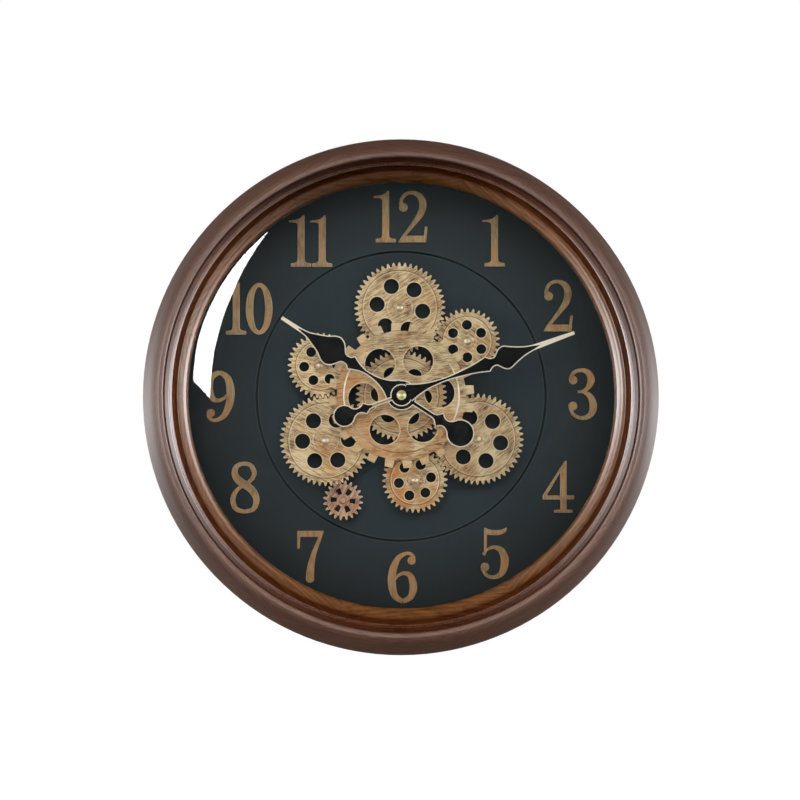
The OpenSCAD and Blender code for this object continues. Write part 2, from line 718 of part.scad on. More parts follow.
module front_gear() color([0.8, 0.66, 0.46]) on_wall() difference() {
    union() {
        disc(front_root_r, front_z0, front_t);
        for (i = [0:front_z - 1]) rotate(front_phase + i * 360 / front_z)
            slab(front_z0, front_t) polygon([[front_root_r - 2, -front_tooth_root_w / 2],
                [front_tip_r, -front_tooth_tip_w / 2], [front_tip_r, front_tooth_tip_w / 2],
                [front_root_r - 2, front_tooth_root_w / 2]]);
        translate([0, 0, front_z0 + front_t])
            cylinder(r1 = front_face_r, r2 = front_face_r - face_bevel, h = front_face_t);
    }
    disc(hub_r + push_fit, front_z0 - 1, front_t + front_face_t + 2);
    for (i = [0:5])
        disc(front_hole_r, front_z0 - 1, front_t + front_face_t + 2, polar(front_hole_pcr, front_hole_turn + 60 * i));
}

hub_flange_r = hub_r + 3;
module gear_hub() color([0.75, 0.6, 0.35]) on_wall() difference() {
    union() {
        disc(hub_r, gear_z, hub_end - gear_z);
        disc(hub_flange_r, hub_flange_z, front_z0 - hub_flange_z);
    }
    disc(bush_r + run_fit, gear_z - 1, hub_end - gear_z + 2);
}

bush_collar_r = hub_r + 1;
module centre_bush() color([0.8, 0.66, 0.35]) on_wall() difference() {
    union() {
        disc(bush_collar_r, dial_face, collar_h);
        disc(bush_r, dial_face, bush_end - dial_face);
    }
    disc(neck_r + run_fit, dial_face - 1, bush_end - dial_face + 2);
}

module neck_washer() color([0.8, 0.68, 0.4]) on_wall()
    tube(hub_r, neck_r + run_fit, bush_end, neck_washer_t);

neck_nut_r = 6.8;
module neck_nut() color([0.8, 0.68, 0.4]) on_wall() difference() {
    translate([0, 0, neck_nut_z]) cylinder(r = neck_nut_r, h = neck_nut_t, $fn = 6);
    disc(neck_r + push_fit, neck_nut_z - 1, neck_nut_t + 2);
}

// Studs that the idle gears turn on, screwed on from behind the dial

collar_r = 5;
stud_end = nut_z + 2.6;
screw_hole_deep = 8.5;

module gear_studs() color([0.8, 0.68, 0.42]) on_wall() for (p = stud_places) difference() {
    union() {
        disc(collar_r, dial_face, collar_h, p);
        disc(stud_r, dial_face, stud_end - dial_face, p);
    }
    disc(board_screw_r + push_fit, dial_face - 1, screw_hole_deep + 1, p);
}

stud_washer_r = 6.8;
dome_r = 4.7;
dome_foot = 1.6;

module dome_nut(at, bore) {
    translate([at[0], at[1], nut_z]) difference() {
        union() {
            cylinder(r = dome_r, h = dome_foot);
            intersection() {
                translate([0, 0, dome_foot - dome_r * 0.35]) sphere(r = dome_r * 1.02);
                translate([0, 0, dome_foot]) cylinder(r = dome_r, h = dome_r);
            }
        }
        translate([0, 0, -1]) cylinder(r = bore, h = 1 + stud_end - nut_z + 0.2);
    }
}

module stud_washers() color([0.82, 0.72, 0.52]) on_wall() for (p = stud_places)
    tube(stud_washer_r, stud_r + push_fit, washer_z, washer_t, p);

module dome_nuts() color([0.85, 0.76, 0.55]) on_wall() for (p = stud_places) dome_nut(p, stud_r + push_fit);

// Screws from behind: one in each stud through the dial board, four that hold the drive case to it
stud_screw_l = dial_t + screw_hole_deep - 0.5;
ear_screw_bite = 1.8;

module board_screws() color([0.6, 0.6, 0.62]) on_wall() {
    for (p = stud_places) translate([p[0], p[1], 0])
        screw(board_screw_r, board_back - screw_head_t, stud_screw_l + screw_head_t);
    for (p = drive_screw_places) translate([p[0], p[1], 0])
        screw(board_screw_r, ear_back - screw_head_t, screw_head_t + board_back - ear_back + ear_screw_bite);
}

// Hands, drawn along +x from their axis

minute_hub_r = 11.3;
minute_tail_x = -61.8;
minute_tail_r = 11.2;
minute_fork = 149;
hour_hub_r = 15.4;
hour_tail_x = -71.2;
hour_tail_r = 14.2;
hour_fork = 125;
tip_w = 1.7;
cap_seat_r = 7.3;

function minute_near() = spline([[8, 9.6], [13.5, 7.6], [20, 5.5], [30, 3.3], [41, 2.3], [52, 2.1],
    [62, 2.9], [72, 4], [82, 5.6], [93, 8.2]], 3);
function minute_far() = concat([[94, 7.4]], spline([[96, 5.6], [99, 4.6], [102, 5], [105.5, 8.6],
    [109, 11.4], [114, 12.3], [121.5, 9], [132, 5], [142, 2.9]], 3));
function minute_tail() = concat([[8, 2.1], [31, 2.1], [34.5, 2.7]], [[39.5, 6.2], [42, 4.4]],
    spline([[44, 3.4], [47, 3.1], [50, 4], [53.5, 6.6]], 3));
function hour_near() = spline([[10, 12.6], [14, 9.4], [20.5, 5.8], [30, 3], [40, 2.1], [47, 2.6],
    [54, 4.8], [61, 7.9]], 3);
function hour_far() = concat([[62.2, 6.6]], spline([[64, 4.9], [67.5, 4.4], [70.5, 5.4], [73.5, 9.4], [77, 13.4],
    [83, 16], [89, 14.6], [96, 10], [105.5, 6.1], [113, 3.3], [120, 2.2]], 3));
function hour_tail() = concat([[14, 2.5], [38, 2.5], [41, 3.4]], [[45.8, 8.2], [48.5, 6]],
    spline([[50.5, 4.7], [53.5, 4.3], [57, 5.6], [60.5, 8.6]], 3));
function backwards(p) = [for (q = p) [-q[0], q[1]]];

module hand_plate(z, near_far, tail, tip, hub_r, tail_x, tail_r) {
    slab(z, hand_t) polygon(both_sides(concat(near_far, [[tip, tip_w]])));
    slab(z, hand_t) polygon(both_sides(backwards(tail)));
    disc(hub_r, z, hand_t);
    disc(tail_r, z, hand_t, [tail_x, 0]);
}

module hand_inlay(z, near_far, tail, fork, hub_r, tail_x, tail_r) {
    slab(z, inlay_t) polygon(both_sides(concat(drawn_in(near_far, line_w), [[fork, 0.3]])));
    slab(z, inlay_t) polygon(both_sides(backwards(drawn_in(tail, line_w))));
    disc(hub_r - line_w, z, inlay_t);
    disc(tail_r - line_w, z, inlay_t, [tail_x, 0]);
}

module minute_hand() color([0.8, 0.72, 0.58]) on_wall() difference() {
    rotate(minute_angle)
        hand_plate(minute_z, concat(minute_near(), minute_far()), minute_tail(), minute_len,
            minute_hub_r, minute_tail_x, minute_tail_r);
    disc(arbor_r + push_fit, minute_z - 1, hand_t + 2);
}

module minute_hand_inlay() color([0.06, 0.06, 0.06]) on_wall() difference() {
    union() {
        rotate(minute_angle)
            hand_inlay(minute_z + hand_t, concat(minute_near(), minute_far()), minute_tail(), minute_fork,
                minute_hub_r, minute_tail_x, minute_tail_r);
        disc(cap_seat_r, minute_top, cap_seat_t);
    }
    disc(arbor_r + push_fit, minute_z - 1, 4);
}

module hour_hand() color([0.8, 0.72, 0.58]) on_wall() difference() {
    rotate(hour_angle)
        hand_plate(hour_z, concat(hour_near(), hour_far()), hour_tail(), hour_len,
            hour_hub_r, hour_tail_x, hour_tail_r);
    disc(tube_r + push_fit, hour_z - 1, hand_t + 2);
}

module hour_hand_inlay() color([0.06, 0.06, 0.06]) on_wall() difference() {
    rotate(hour_angle)
        hand_inlay(hour_z + hand_t, concat(hour_near(), hour_far()), hour_tail(), hour_fork,
            hour_hub_r, hour_tail_x, hour_tail_r);
    disc(tube_r + push_fit, hour_z - 1, 4);
}

thread_r = arbor_r - 0.4;
thread_end = cap_z + 1.6;

cap_dome_r = 6.2;
module cap_nut() color([0.85, 0.72, 0.42]) on_wall() difference() {
    union() {
        disc(cap_r, cap_z, 1);
        intersection() {
            translate([0, 0, cap_z + cap_h - cap_dome_r]) sphere(r = cap_dome_r);
            disc(cap_r, cap_z + 1, cap_h);
        }
    }
    disc(thread_r + push_fit, cap_z - 1, thread_end - cap_z + 1.2);
}

// Quartz movement behind the dial

set_distance = set_m * set_z;
set_bore_r = 1.5;
bay_h = cell_d + 2;
bay_top = -mov_w / 2 + bay_h;
bay_floor = mov_front - case_wall;
works_bottom = bay_top + case_wall;
works_edge = mov_w / 2 - case_wall;
tube_flange_r = 5;

module mov_outline(inset = 0) {
    square([mov_w - 2 * inset, mov_w - 2 * inset], center = true);
}

module movement_case() color([0.1, 0.1, 0.11]) on_wall() difference() {
    slab(mov_back, mov_t) mov_outline();
    slab(mov_back - 1, mov_t - case_wall + 1)
        translate([-works_edge, works_bottom]) square([2 * works_edge, works_edge - works_bottom]);
    slab(mov_back - 1, mov_t - case_wall + 1)
        translate([-works_edge, -works_edge]) square([2 * works_edge, bay_h - case_wall]);
    disc(neck_r + push_fit, mov_front - case_wall - 1, case_wall + 2);
}

cover_boss_r = 4;
module movement_cover() color([0.13, 0.13, 0.14]) on_wall() difference() {
    union() {
        slab(mov_back, cover_t) translate([-works_edge + 0.1, works_bottom + 0.1])
            square([2 * works_edge - 0.2, works_edge - works_bottom - 0.2]);
        disc(cover_boss_r, mov_back, cover_t + 3);
        disc(cover_boss_r, mov_back, cover_t + 3, [0, set_distance]);
    }
    disc(arbor_r + run_fit, mov_back + 1, cover_t + 4);
    disc(set_bore_r + run_fit, mov_back - 1, cover_t + 6, [0, set_distance]);
}

neck_foot_r = 7;
neck_foot_t = 1.2;

module threaded_neck() color([0.8, 0.66, 0.35]) on_wall() difference() {
    union() {
        disc(neck_r, mov_in_front - neck_foot_t, neck_end - mov_in_front + neck_foot_t);
        disc(neck_foot_r, mov_in_front - neck_foot_t, neck_foot_t);
    }
    disc(tube_r + run_fit, mov_in_front - neck_foot_t - 1, neck_end - mov_in_front + neck_foot_t + 2);
}

gasket_r = 14;
module movement_gasket() color([0.08, 0.08, 0.08]) on_wall()
    tube(gasket_r, neck_r + push_fit, mov_front, gasket_t);

coil_r = 4;
coil_flange_r = 5.2;
coil_flange_t = 1.6;
coil_l = 22;
coil_at = [-works_edge + 2 * coil_flange_r, works_edge - coil_l / 2 - 0.4];

module movement_coil() color([0.7, 0.35, 0.2]) on_wall()
    translate([coil_at[0], coil_at[1] - coil_l / 2, mov_in_front - coil_flange_r]) rotate([-90, 0, 0]) {
        cylinder(r = coil_r, h = coil_l);
        cylinder(r = coil_flange_r, h = coil_flange_t);
        translate([0, 0, coil_l - coil_flange_t]) cylinder(r = coil_flange_r, h = coil_flange_t);
    }

circuit_w = 13;
circuit_t = 1.2;
circuit_x = works_edge - circuit_w - 1.4;
chip_w = 7;
chip_t = 2.2;

module movement_board() color([0.1, 0.35, 0.2]) on_wall() {
    slab(mov_in_front - circuit_t, circuit_t)
        translate([circuit_x, works_bottom + 2]) square([circuit_w, works_edge - works_bottom - 4]);
    slab(mov_in_front - circuit_t - chip_t, chip_t)
        translate([circuit_x + (circuit_w - chip_w) / 2, 6]) square([chip_w, chip_w]);
}

// A battery cell along z, with its foot at 0
cap_end_r = 2.7;
cap_end_h = 1.4;
module cell() {
    cylinder(r = cell_d / 2, h = cell_l - cap_end_h);
    translate([0, 0, cell_l - cap_end_h]) cylinder(r = cap_end_r, h = cap_end_h);
}

module movement_cell() color([0.3, 0.32, 0.34]) on_wall()
    translate([-cell_l / 2, -mov_w / 2 + case_wall + (bay_h - case_wall) / 2, bay_floor - cell_d / 2])
        rotate([0, 90, 0]) cell();

// Wheels in the movement: one on the minute arbor, one on the setting shaft
arbor_foot = mov_back + 1.3;

module minute_arbor() color([0.8, 0.66, 0.35]) on_wall() {
    disc(arbor_r, arbor_foot, minute_top + cap_seat_t - arbor_foot);
    disc(thread_r, cap_z, thread_end - cap_z);
    slab(set_wheel_z - set_wheel_t, set_wheel_t) gear_outline(set_z, 90 + 180 / set_z, set_m);
}

tube_foot = mov_in_front - neck_foot_t - face_gap - 1;

module hour_tube() color([0.82, 0.7, 0.4]) on_wall() difference() {
    union() {
        disc(tube_r, tube_foot, hour_z + hand_t + inlay_t - tube_foot);
        disc(tube_flange_r, tube_foot, 1);
    }
    disc(arbor_r + run_fit, tube_foot - 1, hour_top - tube_foot + 2);
}

knob_t = 3.2;
knob_gap = 0.5;
knob_grips = 20;

module setting_knob() color([0.75, 0.75, 0.72]) on_wall() translate([0, set_distance, 0]) {
    disc(set_bore_r, mov_back - knob_gap, mov_in_front - face_gap - mov_back + knob_gap);
    slab(set_wheel_z - set_wheel_t, set_wheel_t) gear_outline(set_z, -90, set_m);
    difference() {
        disc(knob_r, mov_back - knob_gap - knob_t, knob_t);
        for (i = [0:knob_grips - 1])
            disc(0.7, mov_back - knob_gap - knob_t - 1, knob_t + 2, polar(knob_r + 0.2, i * 360 / knob_grips));
    }
}

// Gear drive behind the dial: a geared motor, two cells and a switch in a plastic case

// Places in the drive case are measured from the pinion's axis
drive_left = -30;
drive_low = -drive_h / 2;
ear_t = 3;
ear_w = 9;
ear_back = drive_front - ear_t;
bay_x = drive_left + drive_w - case_wall - 2 * (cell_d + 1);
ear_l = 12;
ear_xs = [drive_left + ear_l, drive_left + drive_w - ear_l];
drive_screw_places = [for (x = ear_xs, side = [-1, 1]) at_pinion + [x, side * (drive_h + ear_w) / 2]];
switch_at = [drive_left + 14, drive_low + 9];
switch_w = 4;
switch_l = 6;

module drive_outline() {
    translate([drive_left, drive_low]) square([drive_w, drive_h]);
}

module drive_case() color([0.1, 0.1, 0.11]) on_wall() translate([at_pinion[0], at_pinion[1], 0]) difference() {
    union() {
        slab(drive_back, drive_t) drive_outline();
        for (x = ear_xs)
            slab(ear_back, ear_t) translate([x - ear_l / 2, -drive_h / 2 - ear_w]) square([ear_l, drive_h + 2 * ear_w]);
    }
    slab(drive_back - 1, drive_t - case_wall + 1) translate([drive_left + case_wall, drive_low + case_wall])
        square([bay_x - case_wall - drive_left - case_wall, drive_h - 2 * case_wall]);
    slab(drive_back - 1, drive_t - case_wall + 1) translate([bay_x, drive_low + case_wall])
        square([2 * (cell_d + 1), drive_h - 2 * case_wall]);
    disc(shaft_r + 0.5, drive_front - case_wall - 1, case_wall + 2);
    for (p = drive_screw_places)
        disc(board_screw_hole, ear_back - 1, ear_t + 2, p - at_pinion);
}

slot_room = 0.3;
module drive_cover() color([0.13, 0.13, 0.14]) on_wall() translate([at_pinion[0], at_pinion[1], 0]) difference() {
    slab(drive_back, cover_t) translate([drive_left + case_wall + 0.1, drive_low + case_wall + 0.1])
        square([bay_x - 2 * case_wall - drive_left - 0.2, drive_h - 2 * case_wall - 0.2]);
    slab(drive_back - 1, cover_t + 2) translate([switch_at[0] - slot_room, switch_at[1] - slot_room])
        square([switch_l + switch_travel + 2 * slot_room, switch_w + 2 * slot_room]);
}

motor_h = drive_t - case_wall - cover_t - 4;
module drive_motor() color([0.7, 0.7, 0.72]) on_wall()
    tube(motor_r, shaft_r + run_fit, drive_in_front - motor_h, motor_h, at_pinion);

// The shaft that the motor turns, with a flange behind and the pinion in front
module drive_shaft() color([0.7, 0.7, 0.72]) on_wall() {
    disc(shaft_r, drive_in_front - motor_h - 1.5, stud_end - drive_in_front + motor_h + 1.5, at_pinion);
    disc(4.5, drive_in_front - motor_h - 1.5, 1.5 - face_gap, at_pinion);
    disc(shaft_r + 2, dial_face + 1, gear_z - dial_face - 1, at_pinion);
}

pinion_nut_r = 3.9;
pinion_nut_t = 1.6;
module pinion_nut() color([0.85, 0.76, 0.55]) on_wall() difference() {
    translate([at_pinion[0], at_pinion[1], 0]) union() {
        disc(pinion_nut_r, gear_top_z, pinion_nut_t);
        translate([0, 0, gear_top_z + pinion_nut_t]) cylinder(r1 = pinion_nut_r, r2 = pinion_nut_r - 1, h = 1);
    }
    disc(shaft_r + push_fit, gear_top_z - 1, 5, at_pinion);
}

module drive_cells() color([0.3, 0.32, 0.34]) on_wall() for (k = [0, 1])
    translate([at_pinion[0] + bay_x + (cell_d + 1) * (k + 0.5), at_pinion[1] - cell_l / 2,
        drive_in_front - cell_d / 2]) rotate([-90, 0, 0]) cell();

module power_switch() color([0.8, 0.8, 0.78]) on_wall()
    translate([at_pinion[0] + switch_at[0], at_pinion[1] + switch_at[1], 0]) {
        slab(drive_back - 1.2, cover_t + 1.2 + 0.5) square([switch_l, switch_w]);
        slab(drive_in_back + 0.3, 1.5) translate([-2.5, -2.5]) square([switch_l + 5, switch_w + 5]);
    }

outer_frame();
bezel_ring();
glass_lens();
spacer_ring();
dial_board();
dial_screws();
bezel_screws();
hanger_plate();
hanger_screws();
numeral_1();
numeral_2();
numeral_3();
numeral_4();
numeral_5();
numeral_6();
numeral_7();
numeral_8();
numeral_9();
numeral_10();
numeral_11();
numeral_12();
centre_bush();
neck_washer();
neck_nut();
gear_studs();
board_screws();
stud_washers();
dome_nuts();
gear_hub();
centre_gear();
front_gear();
gear_top();
gear_lower_left();
gear_lower_right();
gear_upper_right();
gear_upper_left();
gear_bottom();
drive_pinion();
drive_shaft();
pinion_nut();
hour_tube();
hour_hand();
hour_hand_inlay();
minute_arbor();
minute_hand();
minute_hand_inlay();
cap_nut();
movement_case();
movement_cover();
threaded_neck();
movement_gasket();
movement_coil();
movement_board();
movement_cell();
setting_knob();
drive_case();
drive_cover();
drive_motor();
drive_cells();
power_switch();
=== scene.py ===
"""Looks, light and camera for a round wooden wall clock with a gear train in front of its dial."""

import json
import math

import bpy
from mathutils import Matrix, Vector


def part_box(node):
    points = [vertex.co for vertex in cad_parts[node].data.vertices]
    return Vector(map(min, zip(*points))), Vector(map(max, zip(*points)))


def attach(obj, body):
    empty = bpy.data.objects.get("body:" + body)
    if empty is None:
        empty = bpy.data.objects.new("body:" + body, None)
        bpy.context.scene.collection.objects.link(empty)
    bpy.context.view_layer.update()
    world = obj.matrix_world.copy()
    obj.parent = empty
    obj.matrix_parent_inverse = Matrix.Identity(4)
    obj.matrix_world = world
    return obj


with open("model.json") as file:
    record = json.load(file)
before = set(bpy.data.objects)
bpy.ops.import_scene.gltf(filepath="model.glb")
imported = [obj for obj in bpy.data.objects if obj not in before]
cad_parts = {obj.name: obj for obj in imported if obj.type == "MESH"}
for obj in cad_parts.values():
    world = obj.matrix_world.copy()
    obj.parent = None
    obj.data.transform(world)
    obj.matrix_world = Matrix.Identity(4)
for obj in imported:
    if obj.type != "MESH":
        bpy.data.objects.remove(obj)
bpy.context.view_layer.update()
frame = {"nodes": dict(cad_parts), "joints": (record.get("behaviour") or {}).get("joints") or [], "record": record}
NODES = frame["nodes"]
BODIES = frame["record"]["behaviour"]["bodies"]
BODY_OF = {node: body for body, members in BODIES.items() for node in members}
# Where a turning body's axis stands on the dial, as (x, z)
AXIS_OF = {joint["child"]: (joint["pos_m"][0], joint["pos_m"][2])
           for joint in frame["joints"] if joint["type"] == "hinge"}


def front_of(node):
    """The y of a CAD node's front face."""
    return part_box(node)[0].y


def back_of(node):
    """The y of a CAD node's back face."""
    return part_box(node)[1].y


def middle_of(node):
    """The middle of a CAD node's box."""
    low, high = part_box(node)
    return (low + high) / 2


# Node trees


class Tree:
    """A short way to write a node tree."""

    def __init__(self, owner):
        owner.use_nodes = True
        self.tree = owner.node_tree
        self.tree.nodes.clear()

    def node(self, kind, **settings):
        made = self.tree.nodes.new(kind)
        for key, value in settings.items():
            setattr(made, key, value)
        return made

    def feed(self, socket, value):
        if isinstance(value, bpy.types.NodeSocket):
            self.tree.links.new(value, socket)
        else:
            socket.default_value = value

    def fed(self, kind, *values, **settings):
        """A new node whose first inputs are the values."""
        made = self.node(kind, **settings)
        for socket, value in zip(made.inputs, values):
            self.feed(socket, value)
        return made

    def math(self, operation, *values, clamp=False):
        return self.fed("ShaderNodeMath", *values, operation=operation, use_clamp=clamp).outputs[0]

    def times(self, *values):
        product = values[0]
        for value in values[1:]:
            product = self.math("MULTIPLY", product, value)
        return product

    def scaled(self, value, gain, offset):
        """The value times gain, plus offset."""
        return self.math("MULTIPLY_ADD", value, gain, offset)

    def weighted(self, *parts):
        """The sum of parts, each given as (value, weight)."""
        total = 0.0
        for value, weight in parts:
            total = self.scaled(value, weight, total)
        return total

    def length(self, a, b):
        """The length of a flat vector with the parts a and b."""
        return self.math("SQRT", self.math("ADD", self.times(a, a), self.times(b, b)))

    def between(self, value, low, high):
        """0 up to low, 1 from high, and even between; or the other way round where low is the larger."""
        return self.fed("ShaderNodeMapRange", value, low, high, clamp=True).outputs[0]

    def near(self, value, place, full, none):
        """1 within full of a place, and 0 from none away from it."""
        return self.between(self.math("ABSOLUTE", self.math("SUBTRACT", value, place)), none, full)

    def vector(self, operation, *values):
        made = self.fed("ShaderNodeVectorMath", *values, operation=operation)
        return made.outputs["Value" if operation == "DOT_PRODUCT" else "Vector"]

    def split(self, vector):
        x, y, z = self.fed("ShaderNodeSeparateXYZ", vector).outputs
        return x, y, z

    def join(self, x, y, z):
        return self.fed("ShaderNodeCombineXYZ", x, y, z).outputs[0]

    def mapped(self, vector, scale=(1, 1, 1), turn=(0, 0, 0), move=(0, 0, 0)):
        made = self.fed("ShaderNodeMapping", vector)
        made.inputs["Scale"].default_value = scale
        made.inputs["Rotation"].default_value = turn
        made.inputs["Location"].default_value = move
        return made.outputs[0]

    def noise(self, vector, scale=1.0, detail=3.0, rough=0.5, distort=0.0):
        made = self.fed("ShaderNodeTexNoise", vector)
        made.inputs["Scale"].default_value = scale
        made.inputs["Detail"].default_value = detail
        made.inputs["Roughness"].default_value = rough
        made.inputs["Distortion"].default_value = distort
        return made.outputs["Fac"]

    def wave(self, vector, scale, distort, detail):
        made = self.fed("ShaderNodeTexWave", vector, wave_type="BANDS", bands_direction="Z")
        made.inputs["Scale"].default_value = scale
        made.inputs["Distortion"].default_value = distort
        made.inputs["Detail"].default_value = detail
        return made.outputs["Fac"]

    def ramp(self, value, stops):
        """Colours or greys along a value: stops is a list of (place, colour or grey)."""
        made = self.fed("ShaderNodeValToRGB", value)
        elements = made.color_ramp.elements
        while len(elements) < len(stops):
            elements.new(0.5)
        for element, (place, shade) in zip(elements, stops):
            element.position = place
            element.color = (*((shade,) * 3 if isinstance(shade, (int, float)) else shade), 1)
        return made.outputs[0]

    def mix(self, share, first, second, blend="MIX"):
        """The first colour where share is 0, and the second, or a blend of both, where it is 1."""
        made = self.fed("ShaderNodeMix", share, data_type="RGBA", blend_type=blend)
        sockets = {socket.identifier: socket for socket in (*made.inputs, *made.outputs)}
        for name, value in (("A_Color", first), ("B_Color", second)):
            self.feed(sockets[name], (*value, 1) if isinstance(value, tuple) else value)
        return sockets["Result_Color"]

    def glow(self, strength):
        """A shader that shines white."""
        made = self.node("ShaderNodeEmission")
        made.inputs["Strength"].default_value = strength
        return made.outputs[0]

    def either(self, share, first, second):
        """The first shader where share is 0 and the second where it is 1."""
        return self.fed("ShaderNodeMixShader", share, first, second).outputs[0]


class Look(Tree):
    """A material, with its principled shader and the object's own coordinates."""

    def __init__(self, name):
        self.mat = bpy.data.materials.new(name)
        super().__init__(self.mat)
        self.surface = self.node("ShaderNodeOutputMaterial").inputs["Surface"]
        self.bsdf = self.node("ShaderNodeBsdfPrincipled")
        self.feed(self.surface, self.bsdf.outputs["BSDF"])
        self.where = self.node("ShaderNodeTexCoord").outputs["Object"]

    def set(self, **values):
        for key, value in values.items():
            self.feed(self.bsdf.inputs[key.replace("_", " ")], value)

    def shade(self, colour, grey):
        """The colour darkened or lightened by a grey."""
        return self.mix(1.0, colour, self.join(grey, grey, grey), blend="MULTIPLY")

    def bump(self, height, distance):
        made = self.node("ShaderNodeBump")
        self.feed(made.inputs["Height"], height)
        made.inputs["Distance"].default_value = distance
        self.feed(self.bsdf.inputs["Normal"], made.outputs[0])


def srgb(red, green, blue):
    """A colour given as 0 to 255 on screen, as the linear colour that a shader takes."""
    return tuple((c / 255 / 12.92) if c / 255 <= 0.04045 else ((c / 255 + 0.055) / 1.055) ** 2.4
                 for c in (red, green, blue))


def shaded(colour, share):
    """A linear colour made darker or lighter."""
    return tuple(c * share for c in colour)


# Wood

# Each ring is glued up from this many straight pieces
RING_PIECES = 8
PIECE_TURN = 2 * math.pi / RING_PIECES
# How far apart in the wood the pieces may be cut, in metres
CUT_APART = 9.0
# The way to the top of the light, a little to the left of straight up
UP_X = -0.17
UP_Z = 0.985


def across_ring(look, radius, stops):
    """A colour or grey that changes with the radius: stops is a list of (radius in metres, value)."""
    low, high = stops[0][0], stops[-1][0]
    places = [((r - low) / (high - low), value) for r, value in stops]
    return look.ramp(look.between(radius, low, high), places)


def ring_pieces(look, x, y, z, radius, first_joint):
    """For the pieces of a ring: the place in the wood that each was cut from, a random grey for each, and 1
    on the glued joints between them. first_joint is the angle of a joint."""
    turn = look.math("SUBTRACT", look.math("ARCTAN2", z, x), math.radians(first_joint))
    count = look.math("DIVIDE", turn, PIECE_TURN)
    number = look.math("FLOOR", count)
    across = look.math("SUBTRACT", look.math("SUBTRACT", count, number), 0.5)
    local = look.times(across, PIECE_TURN)
    along = look.times(radius, look.math("SINE", local))
    out = look.times(radius, look.math("COSINE", local))
    draw = look.node("ShaderNodeTexWhiteNoise", noise_dimensions="1D")
    look.feed(draw.inputs["W"], number)
    spot = look.vector("MULTIPLY_ADD", draw.outputs["Color"], (CUT_APART,) * 3, look.join(along, y, out))
    edge = look.times(look.math("SUBTRACT", 0.5, look.math("ABSOLUTE", across)), PIECE_TURN, radius)
    return spot, draw.outputs["Value"], look.between(edge, 0.0006, 0.0002)


# The wood within this far of the wall is raw
RAW_BACK = 0.0004


def ring_wood(name, grain, first_joint, stain_and_shade, coat, shine, gloss, top=1.0, foot=1.0, back=None):
    """Stained wood of a ring, whose grain runs along each of its pieces. grain holds its dark, middle and
    light tone. The stain list holds (radius, colour) pairs that darken the ring across its width, partly as
    the wood's own stain and partly as painted shade in its hollows and on slopes turned from the light; coat
    and shine are such lists of (radius, strength) for the lacquer and for the wood under it. top and foot
    are painted shade and painted light: they darken or lighten the ring towards its top and its foot. back
    is the colour of the raw wood on the wall."""
    dark, mid, light = grain
    look = Look(name)
    x, y, z = look.split(look.where)
    radius = look.length(x, z)
    spot, draw, joint = ring_pieces(look, x, y, z, radius, first_joint)
    tilted = look.mapped(spot, turn=(0.12, 0.05, 0.3))
    streaks = look.noise(look.mapped(tilted, scale=(9, 170, 170)), detail=6, rough=0.62, distort=0.5)
    bands = look.wave(look.mapped(tilted, scale=(0.7, 6, 9)), scale=9, distort=7.5, detail=3)
    clouds = look.noise(look.mapped(spot, scale=(5, 16, 16)))
    pores = look.noise(look.mapped(spot, scale=(80, 1700, 1700)), detail=2, rough=0.7)
    figure = look.weighted((streaks, 0.7), (bands, 0.16), (clouds, 0.22))
    colour = look.ramp(figure, [(0.30, dark), (0.53, mid), (0.76, light)])
    colour = look.mix(look.times(look.between(pores, 0.60, 0.68), 0.5), colour, shaded(dark, 0.5))
    colour = look.shade(colour, look.times(look.scaled(draw, 0.14, 0.93), look.scaled(joint, -0.2, 1.0)))
    # The colour across the ring's width: partly the wood's own stain, partly painted shade in hollows and on
    # slopes turned from the light
    colour = look.mix(1.0, colour, across_ring(look, radius, stain_and_shade), blend="MULTIPLY")
    # Painted shade and light: top darkens the ring towards the light above it, and foot lightens the ring towards
    # its foot
    upward = look.math("DIVIDE", look.weighted((z, UP_Z), (x, UP_X)), radius)
    painted_shading = look.scaled(look.between(upward, 0.70, 0.96), top - 1.0, 1.0)
    painted_shading = look.scaled(look.between(upward, -0.35, -0.8), foot - 1.0, painted_shading)
    colour = look.shade(colour, painted_shading)
    if back:
        raw = look.mix(look.between(figure, 0.35, 0.75), shaded(back, 0.72), shaded(back, 1.2))
        colour = look.mix(look.between(y, -RAW_BACK, -RAW_BACK / 4), colour, raw)
    look.set(Base_Color=colour, Specular_IOR_Level=across_ring(look, radius, shine))
    look.set(Coat_Weight=across_ring(look, radius, coat), Coat_Roughness=0.07)
    look.set(Roughness=look.scaled(streaks, 0.12, gloss))
    look.bump(look.weighted((pores, -0.3), (streaks, 0.5)), 0.00005)
    return look.mat


# Metals


def step_line_and_highlight(look, colour, away, step, dark, bright):
    """A darker line at the foot of a gear's raised face, and a painted highlight along the edge of that face."""
    foot = look.near(away, step + 0.0006, 0.0003, 0.0009)
    colour = look.mix(look.times(foot, 0.6), colour, shaded(dark, 0.6))
    edge = look.near(away, step - 0.0005, 0.0002, 0.0007)
    return look.mix(look.times(edge, 0.55), colour, bright)


def window_highlights(look, colour, x, z, away, windows, bright):
    """A painted highlight round each of six round windows: windows is their radius, the radius of the circle that
    they stand on and the angle of the first."""
    window, circle, first = windows
    spacing = math.pi / 3
    turn = look.math("SUBTRACT", look.math("ARCTAN2", z, x), math.radians(first))
    turn = look.math("DIVIDE", turn, spacing)
    fold = look.times(look.math("SUBTRACT", turn, look.math("ROUND", turn)), spacing)
    along = look.math("SUBTRACT", look.times(away, look.math("COSINE", fold)), circle)
    across = look.times(away, look.math("SINE", fold))
    edge = look.between(look.length(along, across), window + 0.0012, window + 0.0005)
    return look.mix(look.times(edge, 0.75), colour, bright)


